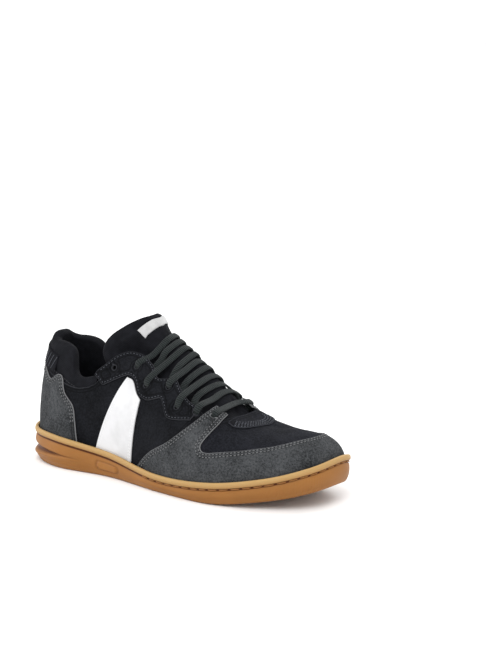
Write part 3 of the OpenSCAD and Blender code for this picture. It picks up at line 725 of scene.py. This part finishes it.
def make_tread():
    """The underside: herringbone ribs inside a flat margin."""
    columns, rows = 400, 130
    points, border = plate(columns, rows, 5.3, ground)
    inner = nearest(points, border)
    x, y = points[:, 0], points[:, 1]
    zigzag = np.abs((y / 13) % 2 - 1) * 6
    rib = smooth((np.abs(((x + zigzag) / 7.5) % 1 - 0.5) - 0.17) / 0.07)
    waist = smooth((np.abs(x + 14) - 22) / 4)
    channel = (1 - rib) * smooth((inner - 6) / 1.5) * waist
    pivot = smooth((17 - np.hypot(x - 78, y - 4)) / 1.5)
    rings = smooth((np.abs((np.hypot(x - 78, y - 4) / 5) % 1 - 0.5) - 0.17) / 0.07)
    channel = channel * (1 - pivot) + (1 - rings) * pivot
    points[:, 2] += 1.3 * channel
    faces = [f[::-1] for f in grid_faces(columns, rows)]
    # painted shade over the whole underside, deeper in the channels
    add_mesh(
        "cupsole_tread", points, faces, GUM,
        band=np.zeros(len(points)), hollow=0.15 + 0.55 * channel,
    )


def make_sole_thread():
    """Lock stitches in the groove, from the waist round the toe to the other waist."""
    points, faces = [], []
    sides, steps, radius = 8, 11, 0.62
    for i in range(3, 13):
        n = round(float(np.linalg.norm(KNOTS[(i + 1) % 16][:2] - KNOTS[i][:2])) / STITCH_PITCH)
        for j in range(n):
            k = i + j / n
            if not 3.6 < k < 12.3:
                continue
            base = len(points)
            for s in range(steps):
                t = s / (steps - 1)
                swell = math.sqrt(max(1 - (2 * t - 1) ** 8, 0.12))
                at_k = k + STITCH_SHARE / n * t
                a, o = at(at_k), outward(at_k)
                depth = 1.3 + 0.9 * abs(2 * t - 1) ** 7
                centre = np.array([*(a[:2] - depth * o), a[2] - GROOVE])
                for q in range(sides):
                    angle = 2 * math.pi * q / sides
                    step = radius * swell * np.array([*(o * math.cos(angle)), math.sin(angle)])
                    points.append(centre + step)
            add_tube_faces(faces, base, steps, sides)
    add_mesh("sole_stitches", points, faces, SOLE_THREAD, replaces=("sole_thread",))


make_cupsole()
make_tread()
make_sole_thread()


def make_sockliner():
    columns, rows = 260, 80
    points, border = plate(columns, rows, 9.6, lambda k: foot_line(k) + 4)
    points[:, 2] += 2.0 * smooth(1 - nearest(points, border) / 9) + 0.15 * ripple(points, 12, 5)
    add_mesh("sockliner_top", points, grid_faces(columns, rows), LINING, replaces=("sockliner",))


make_sockliner()

# ------------ upper: quarters and vamp

QUARTER_UPPER = [
    (2.5, 0.335), (2.62, 0.38), (2.73, 0.49), (2.8, 0.595), (2.94, 0.675), (3.08, 0.71), (3.25, 0.71),
    (3.38, 0.68), (3.5, 0.64), (3.66, 0.585), (3.8, 0.605), (3.96, 0.635), (4.1, 0.6), (4.36, 0.575),
    (4.52, 0.6), (4.66, 0.61),
]
HEEL_SEAM = [(2.3, 0.31), (2, 0.31), (1.5, 0.32), (1, 0.33), (0.5, 0.33), (0.03, 0.33)]
EYELETS = [(4.78, 0.66), (4.48, 0.56), (4.14, 0.49), (3.88, 0.58), (3.49, 0.51), (3.2, 0.61), (2.84, 0.52)]
SIDES = (("lateral", LATERAL), ("medial", MEDIAL))
HOLE_RADIUS = 2.1
# How far out from the form the faces of the layers lie
OVERLAY = 1.15
SHELL_OUT, SHELL_IN = -0.35, -1.7
CLOTH_OUT, CLOTH_IN = -2.15, -3.0


def on_side(k, side):
    return k if side == LATERAL else 16 - k


def holes_of(side, which):
    return [circle_on_form(on_side(EYELETS[i][0], side), EYELETS[i][1], HOLE_RADIUS) for i in which]


for name, side in SIDES:
    loop = outline(
        [(0.03, 0), (1, 0), (2, 0), (3, 0), (3.95, 0)],
        [(3.95, 0), (4.3, 0.3), (4.66, 0.61)],
        QUARTER_UPPER[::-1],
        [(2.5, 0.335), *HEEL_SEAM],
    )
    add_panel(
        f"quarter_{name}_suede", mirrored(loop, side), SHELL_OUT, SHELL_IN, BLACK,
        holes=holes_of(side, range(1, 7)), wave=0.5, seed=3 + side, replaces=(f"quarter_{name}",),
    )
    loop = outline(
        [(2.7, 0.03), (3.3, 0.03), (4.0, 0.03)],
        [(4.0, 0.03), (4.35, 0.31), (4.68, 0.585)],
        [(4.68, 0.585), (4.39, 0.555), (4.13, 0.58), (3.99, 0.615), (3.83, 0.585), (3.69, 0.565),
         (3.53, 0.62), (3.41, 0.66), (3.28, 0.69), (3.11, 0.69), (2.97, 0.655), (2.83, 0.575), (2.76, 0.47)],
        [(2.76, 0.47), (2.7, 0.25), (2.7, 0.03)],
    )
    add_panel(
        f"quarter_lining_{name}_cloth", mirrored(loop, side), CLOTH_OUT, CLOTH_IN, LINING,
        holes=holes_of(side, range(1, 7)), wave=0.0, replaces=(f"quarter_lining_{name}",),
    )


def make_vamp():
    rear = [(4, 0), (4.21, 0.16), (4.43, 0.33), (4.62, 0.49), (4.87, 0.66), (5.06, 0.8), (5.25, 1)]
    rear = smooth_line(rear, 2.2)
    across, rows = 220, len(rear)
    i = np.arange(across + 1) / across
    k = rear[:, :1] * (1 - i) + (16 - rear[:, :1]) * i
    h = np.repeat(rear[:, 1:], across + 1, 1)
    flat_k, flat_h = k.ravel(), h.ravel()
    top = skin(flat_k, flat_h)
    # soft creases across the ball of the foot and a slightly uneven surface
    puff = 0.45 * ripple(top, 16, 21) + 0.25 * ripple(top, 7, 22)
    outer = form(flat_k, flat_h, SHELL_OUT + puff * smooth(flat_h / 0.3))
    inner = form(flat_k, flat_h, SHELL_IN)
    count = len(flat_k)
    last = (rows - 1) * (across + 1)

    def index(r, c):
        return last + min(c, across - c) if r == rows - 1 else r * (across + 1) + c

    faces = []
    for r in range(rows - 1):
        for c in range(across):
            quad = (index(r, c), index(r, c + 1), index(r + 1, c + 1), index(r + 1, c))
            quad = tuple(dict.fromkeys(quad))
            if len(quad) > 2:
                faces.append(quad)
    edge = np.minimum(i[None, :], 1 - i[None, :]).repeat(rows, 0).ravel() * 190
    add_mesh(
        "vamp_suede", np.vstack([outer, inner]), solid_faces(faces, count), NAVY,
        replaces=("vamp",), edge_mm=np.concatenate([edge + 0.8, np.zeros(count)]),
    )


make_vamp()

# ------------ upper: overlays

GUARD_REAR = [
    (3.57, 0.04), (3.8, 0.15), (4.11, 0.25), (4.34, 0.36), (4.52, 0.48), (4.65, 0.63), (4.74, 0.78),
]
GUARD_FRONT = [(4.99, 0.8), (4.93, 0.62), (4.84, 0.48), (4.77, 0.39), (4.74, 0.34)]
GUARD_TOE = [
    (4.77, 0.305), (4.88, 0.305), (5.2, 0.37), (5.65, 0.45), (6.03, 0.52), (6.4, 0.59), (6.86, 0.66),
    (7.4, 0.71), (8, 0.73),
]


def flip(line):
    """A lateral (k, h) line as it runs on the medial side, in the opposite order."""
    return [(16 - k, h) for k, h in line[::-1]]


def over(line):
    """A lateral (k, h) line as it runs on the other side of the crest, in the opposite order."""
    return [(k, 2 - h) for k, h in line[::-1]]


# From the tip of one wing down, round the toe and up to the tip of the other wing
inner_line = GUARD_FRONT + GUARD_TOE
inner_line = inner_line + flip(inner_line)[1:]
guard_parts = [
    [(3.55, 0), (5, 0), (6.5, 0), (8, 0), (9.5, 0), (11, 0), (12.45, 0)],
    [(12.45, 0), *[(16 - k, h) for k, h in GUARD_REAR]],
    inner_line[::-1],
    [*GUARD_REAR[::-1], (3.55, 0)],
]
guard = outline(*guard_parts)
add_panel(
    "toe_guard_suede", guard, OVERLAY, 0.0, GREY, holes=holes_of(LATERAL, [0]) + holes_of(MEDIAL, [0]),
    wave=0.35, seed=8, replaces=("toe_guard",),
)
add_stitches("toe_guard_stitches", seams(guard_parts[1:], STITCH_INSETS), OVERLAY, GREY_THREAD)

THROAT_REAR = [(5.08, 0.715), (5.09, 0.76), (5.13, 0.82), (5.19, 0.89), (5.25, 0.95), (5.27, 1)]
THROAT_FRONT = [
    (5.2, 0.7), (5.37, 0.735), (5.49, 0.78), (5.62, 0.84), (5.75, 0.9), (5.87, 0.96), (5.97, 1),
]
throat_front = THROAT_FRONT + over(THROAT_FRONT)[1:]
throat = outline(throat_front, (THROAT_REAR + over(THROAT_REAR)[1:])[::-1])
add_panel("throat_patch_suede", throat, 0.9, 0.0, NAVY, wave=0.1, roll=0.4, replaces=("throat_patch",))
add_stitches(
    "throat_patch_stitches", seams([throat_front], (1.4, 3.6, 5.8, 8.0)), 0.9, PALE_THREAD,
    pitch=2.6, length=2.0,
)

EYESTAY_LOWER = [
    (2.56, 0.42), (2.66, 0.4), (2.75, 0.38), (2.94, 0.45), (3.04, 0.49), (3.14, 0.52), (3.26, 0.51),
    (3.39, 0.43), (3.47, 0.42), (3.58, 0.42), (3.7, 0.45), (3.81, 0.48), (3.87, 0.46), (3.97, 0.4),
    (4.07, 0.39), (4.25, 0.42), (4.44, 0.47),
]
EYESTAY_UPPER = [
    (2.58, 0.45), (2.7, 0.53), (2.8, 0.62), (2.94, 0.7), (3.08, 0.73), (3.25, 0.73), (3.37, 0.7),
    (3.49, 0.67), (3.58, 0.62), (3.66, 0.6), (3.8, 0.63), (3.92, 0.655), (3.98, 0.66), (4.1, 0.62),
    (4.22, 0.6), (4.36, 0.59), (4.55, 0.62),
]
BAND_FRONT = [(3.42, 0), (3.44, 0.2), (3.46, 0.4)]
BAND_REAR = [(3.12, 0.5), (2.92, 0.25), (2.72, 0)]
for name, side in SIDES:
    loop = outline(EYESTAY_LOWER, EYESTAY_UPPER[::-1])
    add_panel(
        f"eyestay_{name}_suede", mirrored(loop, side), OVERLAY, 0.0, BLACK,
        holes=holes_of(side, range(1, 7)), wave=0.3, seed=11 + side, replaces=(f"eyestay_{name}",),
    )
    rows = seams((EYESTAY_LOWER, EYESTAY_UPPER[::-1]), STITCH_INSETS[:1], side)
    add_stitches(f"eyestay_{name}_stitches", rows, OVERLAY, PALE_THREAD, thick=0.5)
    band_top = [(3.46, 0.4), (3.36, 0.43), (3.24, 0.495), (3.12, 0.5)]
    loop = outline([(2.72, 0), (3.42, 0)], BAND_FRONT, band_top, BAND_REAR)
    add_panel(
        f"side_band_{name}_leather", mirrored(loop, side), OVERLAY, 0.0, WHITE, wave=0.2,
        seed=14 + side, replaces=(f"side_band_{name}",),
    )
    add_stitches(
        f"side_band_{name}_stitches", seams((BAND_FRONT, BAND_REAR), (1.6, 3.4), side), OVERLAY,
        WHITE_THREAD, thick=0.5, pitch=2.6, length=1.9,
    )

FOXING_TOP = [
    (2.36, 0.13), (2.28, 0.21), (2.03, 0.27), (1.9, 0.335), (1.74, 0.34), (1.5, 0.3), (1.26, 0.315),
    (1.05, 0.33), (0.5, 0.33), (0, 0.33),
]
foxing_top = FOXING_TOP + [(-k, h) for k, h in FOXING_TOP[-2::-1]]
foxing = outline([(-2.43, 0), (-1, 0), (0, 0), (1, 0), (2.43, 0)], foxing_top)


def pressed_mark(k, h, distance):
    """A plain slanting pill pressed into each side of the foxing."""
    places = skin(k, h)
    centre = skin(np.array(1.35), np.array(0.17))
    x, z = places[:, 0] - centre[0], places[:, 2] - centre[2]
    along, away = 0.75 * x + 0.66 * z, np.abs(-0.66 * x + 0.75 * z)
    inner = np.maximum(np.abs(along) - 8, 0)
    return -0.45 * smooth((2.4 - np.hypot(inner, away)) / 0.8)


add_panel(
    "heel_foxing_suede", foxing, OVERLAY, 0.0, GREY, wave=0.3, seed=17, lift=pressed_mark,
    replaces=("heel_foxing",),
)
add_stitches("heel_foxing_stitches", seams([foxing_top], STITCH_INSETS), OVERLAY, GREY_THREAD)


def ribs(k, h, distance):
    return 0.28 * np.sin(2 * math.pi * h / 0.017) * smooth(distance / 1.2)


PATCH_TOP = [(1.6, 0.43), (0.8, 0.437), (0, 0.445), (-0.8, 0.437), (-1.6, 0.43)]
patch = outline([(-1.6, 0.335), (0, 0.335), (1.6, 0.335)], PATCH_TOP)
add_panel(
    "heel_patch_ribbed", patch, OVERLAY, 0.0, TEXTILE, wave=0.0, lift=ribs, replaces=("heel_patch",),
)
slants = [smooth_line([(0.82 + 0.15 * i, 0.345), (0.98 + 0.15 * i, 0.42)]) for i in range(5)]
slants += [line * (-1, 1) for line in slants]
add_stitches("heel_patch_lines", slants, OVERLAY + 0.3, PALE_THREAD, pitch=1.8, length=1.8, thick=0.6)

# ------------ collar and tongue

# The top line round the ankle: [lower k, lower h, upper k, upper h]
COLLAR = np.array([
    (0, 0.325, 0, 0.47), (0.5, 0.325, 0.54, 0.473), (1.05, 0.325, 1.15, 0.48), (1.32, 0.32, 1.42, 0.495),
    (1.6, 0.315, 1.68, 0.505), (1.85, 0.31, 1.9, 0.495), (2.04, 0.305, 2.03, 0.45),
    (2.18, 0.305, 2.13, 0.395), (2.3, 0.305, 2.24, 0.366), (2.4, 0.313, 2.36, 0.362),
    (2.5, 0.33, 2.48, 0.38), (2.6, 0.34, 2.62, 0.41),
])
COLLAR_BACK = -8.6  # how far inside the form the padding ends at the top line


def make_collar():
    """The padded collar: its cloth runs up the outside, over the foam and down inside the heel."""
    half = through(COLLAR, [9] * (len(COLLAR) - 1))
    columns = np.vstack([half[:0:-1] * (-1, 1, -1, 1), half])
    lower_k, lower_h, upper_k, upper_h = columns.T
    rows = []
    front = smooth((np.abs(upper_k) - 1.5) / 0.6)
    for t in np.linspace(0, 1, 18):
        swell = math.sin(math.pi * max(0, (t - 0.2) / 0.8) ** 1.1)
        puff = (0.9 - 0.6 * front) * swell - 0.5 * (1 - smooth(t / 0.3))
        k, h = lower_k + (upper_k - lower_k) * t, lower_h + (upper_h - lower_h) * t
        rows.append(form(k, h, -0.6 + puff))
    outer = rows[-1]
    inner_h = upper_h - 0.003
    inner = form(upper_k, inner_h, COLLAR_BACK)
    n = normal(upper_k, upper_h)
    up = unit(rows[-1] - rows[-4])
    centre, radius = (outer + inner) / 2, np.linalg.norm(outer - inner, axis=1, keepdims=True) / 2
    across = unit(outer - inner)
    for a in np.linspace(0, math.pi, 14)[1:-1]:
        rows.append(centre + radius * (math.cos(a) * across + 0.72 * math.sin(a) * up))
    low_k = lower_k * 1.04
    for t in np.linspace(0, 1, 24):
        k, h = upper_k + (low_k - upper_k) * t, inner_h + (0.03 - inner_h) * t
        depth = COLLAR_BACK + 4.0 * t ** 0.9 - 1.4 * math.sin(math.pi * min(1, 2.2 * t))
        rows.append(form(k, h, depth))
    points = np.stack(rows, 1)
    count = len(columns)
    flat = points.reshape(-1, 3)
    flat = flat + 0.3 * ripple(flat, 14, 31)[:, None] * np.repeat(n[:, None], len(rows), 1).reshape(-1, 3)
    faces = grid_faces(count, len(rows), closed_rows=True)
    faces.append(tuple(reversed(range(len(rows)))))
    faces.append(tuple((count - 1) * len(rows) + j for j in range(len(rows))))
    made = add_mesh(
        "collar_pad", flat, faces, TEXTILE,
        replaces=("collar_panel", "collar_foam", "heel_lining"),
    )
    seam = columns[:, :2] + (columns[:, 2:] - columns[:, :2]) * 0.16
    inside_seam = seam[(seam[:, 0] > -2.3) & (seam[:, 0] < 2.3)]
    add_stitches("collar_stitches", [inside_seam], 0.75, DARK_THREAD, thick=0.5)


make_collar()

# The tongue's columns from the lateral to the medial edge: [rear k, h, front k, h]
TONGUE = np.array([
    (2.74, 0.46, 5.00, 0.5), (2.54, 0.56, 5.07, 0.58), (2.49, 0.66, 5.13, 0.66), (2.53, 0.75, 5.18, 0.74),
    (2.6, 0.84, 5.21, 0.82), (2.66, 0.93, 5.23, 0.91), (2.71, 1.02, 5.24, 1.00), (2.74, 1.1, 5.23, 1.09),
    (2.78, 1.18, 5.21, 1.18), (2.76, 1.26, 5.18, 1.26), (2.68, 1.35, 5.13, 1.34), (2.64, 1.44, 5.07, 1.42),
    (2.74, 1.54, 5.00, 1.5),
])
TONGUE_LOW, TONGUE_RISE, TIP_SPREAD = -7.4, 6.0, 5.0
TIP_LIFT, TONGUE_LONG = 6.0, 90
TIP_H = [0.55, 0.65, 0.75, 0.85, 0.93, 1.02, 1.1, 1.18, 1.26, 1.35, 1.45]
TIP_UP = [0, 3, 7, 10, 12, 15, 18, 19, 17, 9, 0]
REACH_K = [2.55, 2.7, 2.8, 2.95, 3.3, 3.6, 4.2]
REACH = [0.52, 0.41, 0.33, 0.23, 0.22, 0.27, 0.33]


def bulge(k, h):
    return smooth((np.interp(k, REACH_K, REACH) - np.abs(1 - h)) / 0.12)


def tongue_face(k, h):
    front = 1 - 0.6 * smooth((k - 4.75) / 0.4)
    middle = front * TONGUE_RISE * smooth(1 - np.abs(1.04 - h) / 0.36)
    tip = np.interp(h, TIP_H, TIP_UP) * smooth((4.1 - k) / 1.4)
    return TONGUE_LOW + bulge(k, h) * (middle + tip)


def tongue_point(k, h, d):
    points = form(k, h, tongue_face(k, h) + d)
    spread = TIP_SPREAD * bulge(k, h) * smooth((h - 1) / 0.35) * smooth((3.2 - k) / 0.6)
    points[..., 1] += spread
    return points


def make_tongue():
    """The padded tongue: cloth over foam, with a stitched edge round it."""
    columns = through(TONGUE, [7] * (len(TONGUE) - 1))
    count, rows = len(columns), 90
    t = np.linspace(0, 1, rows)[None, :]
    k = columns[:, :1] + (columns[:, 2:3] - columns[:, :1]) * t
    h = columns[:, 1:2] + (columns[:, 3:4] - columns[:, 1:2]) * t
    side_mm = np.minimum(np.arange(count), np.arange(count)[::-1])[:, None] * 1.15 + 0 * t
    end_mm = t * TONGUE_LONG + 0 * side_mm
    edge = np.minimum(side_mm, end_mm)
    pinch = 1.9 * (1 - np.sqrt(np.clip(1 - (1 - np.clip(edge / 3.2, 0, 1)) ** 2, 0, 1)))
    seam = 0.7 * np.exp(-((edge - 6.5) / 0.9) ** 2)
    lift = TIP_LIFT * smooth(1 - end_mm / 24) * smooth(side_mm / 12)
    # the padding swells between the laces, along the crest
    crown = 1.4 + 0.8 * smooth((k - 4.35) / 0.15)
    crown = crown * smooth(1 - np.abs(1 - h) / 0.17)
    crown = crown * smooth((k - 3.25) / 0.2) * smooth((5.0 - k) / 0.2)
    outer = tongue_point(k, h, lift - pinch - seam + crown + 0.35 * smooth((edge - 3) / 6))
    inner = tongue_point(k, h, lift - 5.3 + pinch)
    outer = outer + 0.35 * ripple(outer.reshape(-1, 3), 13, 41).reshape(count, rows, 1) * normal(k, h)
    points = np.vstack([outer.reshape(-1, 3), inner.reshape(-1, 3)])
    faces = solid_faces([f[::-1] for f in grid_faces(count, rows)], count * rows)
    made = add_mesh(
        "tongue_pad", points, faces, TEXTILE, body="tongue",
        replaces=("tongue_shell", "tongue_foam", "tongue_lining"),
    )


def make_label():
    ks, hs = np.linspace(2.86, 3.04, 40), np.linspace(0.87, 1.11, 40)
    k, h = np.meshgrid(ks, hs, indexing="ij")
    in_rows = np.minimum(np.arange(40), np.arange(40)[::-1])
    edge = np.minimum(in_rows[:, None], in_rows[None, :]) * 0.5
    rear, front = np.interp(h, TONGUE[:, 1], TONGUE[:, 0]), np.interp(h, TONGUE[:, 3], TONGUE[:, 2])
    lift = TIP_LIFT * smooth(1 - (k - rear) / (front - rear) * TONGUE_LONG / 24)
    face = 1.35 - 0.5 * (1 - smooth(edge)) - 0.15 * np.exp(-((edge - 1.6) / 0.3) ** 2)
    outer = tongue_point(k, h, lift + face)
    inner = tongue_point(k, h, lift + 0.2)
    faces = solid_faces(grid_faces(40, 40), 1600)
    points = np.vstack([outer.reshape(-1, 3), inner.reshape(-1, 3)])
    add_mesh("tongue_label_woven", points, faces, LABEL, body="tongue", replaces=("tongue_label",))


make_tongue()
make_label()

# ------------ lace

# The middle of the lace, as [k, h, distance out from the form]: it zigzags up from the throat,
# down through each hole, along under the eyestay and out over the tongue to the other side.
LACE_ROUTE = [
    (3.75, 0.37, -6.2), (4.2, 0.4, -4.6), (4.58, 0.47, -4.6), (4.76, 0.6, -4.3),
    (4.78, 0.66, -1), (4.8, 0.7, 2.2), (4.86, 0.82, 1), (4.91, 1.02, 0.2), (4.86, 1.2, 1.4),
    (4.79, 1.31, 2.3), (4.78, 1.34, -1), (4.74, 1.36, -4.3),
    (4.66, 1.3, -4.2), (4.64, 1.15, -2.2), (4.66, 0.96, -1.9), (4.62, 0.8, -1.2), (4.52, 0.63, 2.2),
    (4.48, 0.56, -1), (4.44, 0.58, -4.4),
    (4.38, 0.66, -4.2), (4.44, 0.8, -2.4), (4.53, 1.02, -1.9), (4.56, 1.22, -0.6), (4.51, 1.39, 2.3),
    (4.48, 1.44, -1), (4.42, 1.42, -4.4),
    (4.37, 1.32, -4.2), (4.36, 1.15, -2), (4.36, 0.96, -1.9), (4.3, 0.78, -1.2), (4.18, 0.57, 2.2),
    (4.14, 0.49, -1), (4.11, 0.54, -4.4),
    (4.09, 0.65, -4.3), (4.15, 0.8, -2.4), (4.21, 1.02, -1.9), (4.2, 1.22, -0.8), (4.16, 1.44, 2.3),
    (4.14, 1.51, -1), (4.1, 1.47, -4.4),
    (4.06, 1.34, -4.3), (4.05, 1.16, -2), (4.04, 0.96, -1.9), (3.99, 0.78, -1), (3.9, 0.62, 2.2),
    (3.88, 0.58, -1), (3.85, 0.62, -4.5),
    (3.83, 0.7, -4.3), (3.86, 0.82, -2.4), (3.89, 1.02, -1.9),
    (3.9, 1.12, -0.9), (3.9, 1.22, 0.5), (3.88, 1.38, 2.3),
    (3.88, 1.42, -1), (3.84, 1.4, -4.5),
    (3.77, 1.31, -4.3), (3.75, 1.25, -1), (3.73, 1.15, -2), (3.72, 1.06, -2),
    (3.7, 0.96, -1.9), (3.63, 0.76, -1), (3.52, 0.56, 2.2),
    (3.49, 0.51, -1), (3.47, 0.57, -4.5),
    (3.46, 0.7, -4.3), (3.49, 0.78, -2.4), (3.51, 0.86, -2.4),
    (3.54, 1.02, -1.9), (3.54, 1.14, -1), (3.54, 1.23, 2), (3.5, 1.45, 2.3),
    (3.49, 1.49, -1), (3.46, 1.45, -4.5),
    (3.41, 1.31, -4.3), (3.4, 1.24, 0.5), (3.39, 1.17, 5), (3.38, 1.08, 5),
    (3.38, 0.96, -1.9), (3.32, 0.78, -0.6), (3.23, 0.65, 2.3),
    (3.2, 0.61, -1), (3.17, 0.54, -4.5), (3.14, 0.44, -4.7), (3.12, 0.35, -6.6),
]
LACE_W, LACE_T, LACE_STEP = 5.8, 2.1, 0.7
LACE_CLEAR = 3.2  # from the tongue's face to the middle of the lace
lace_line = np.array(LACE_ROUTE)
clear = tongue_face(lace_line[:, 0], lace_line[:, 1]) + LACE_CLEAR
on_tongue = np.abs(1 - lace_line[:, 1]) < 0.36
lace_line[:, 2] = np.where(on_tongue, np.maximum(lace_line[:, 2], clear), lace_line[:, 2])


def make_lace():
    knots = form(*lace_line.T)
    lengths = np.linalg.norm(np.diff(knots, axis=0), axis=1)
    path = through(knots, [max(4, int(length / LACE_STEP)) for length in lengths])
    tangent = unit(np.gradient(path, axis=0))
    slope = np.array([1, 0, -0.5])
    wide = unit(slope - (tangent @ slope)[:, None] * tangent)
    flat = np.cross(tangent, wide)
    run = run_along(path)
    sides = 28
    points, uv = [], []
    for j in range(sides):
        a = 2 * math.pi * j / sides
        c, s = math.cos(a), math.sin(a)
        across = math.copysign(abs(c) ** 0.75, c) * LACE_W / 2
        up = math.copysign(abs(s) ** 0.8, s) * LACE_T / 2
        points.append(path + across * wide + up * flat)
        uv.append(np.column_stack([np.full(len(path), 0.5 + across / LACE_W), run]))
    points = np.stack(points, 1).reshape(-1, 3)
    uv = np.stack(uv, 1).reshape(-1, 2)
    faces = [f[::-1] for f in grid_faces(len(path), sides, closed_rows=True)]
    faces.append(tuple(range(sides)))
    faces.append(tuple((len(path) - 1) * sides + j for j in reversed(range(sides))))
    add_mesh("lace_braid", points, faces, LACE, uv=uv, replaces=("lace",))


make_lace()

# ------------ the CAD pieces that stay

for node, material, slot in (
    ("midsole_wedge", FOAM, "eva_foam"), ("strobel_board", BOARD, "board"),
    ("heel_counter", STIFFENER, "stiffener"), ("toe_puff", STIFFENER, "stiffener"),
    ("vamp_lining", LINING, "lining_textile"), ("lace_tips", TIP, "lace_tip"),
):
    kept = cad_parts[node]
    kept.data.materials.clear()
    kept.data.materials.append(material)
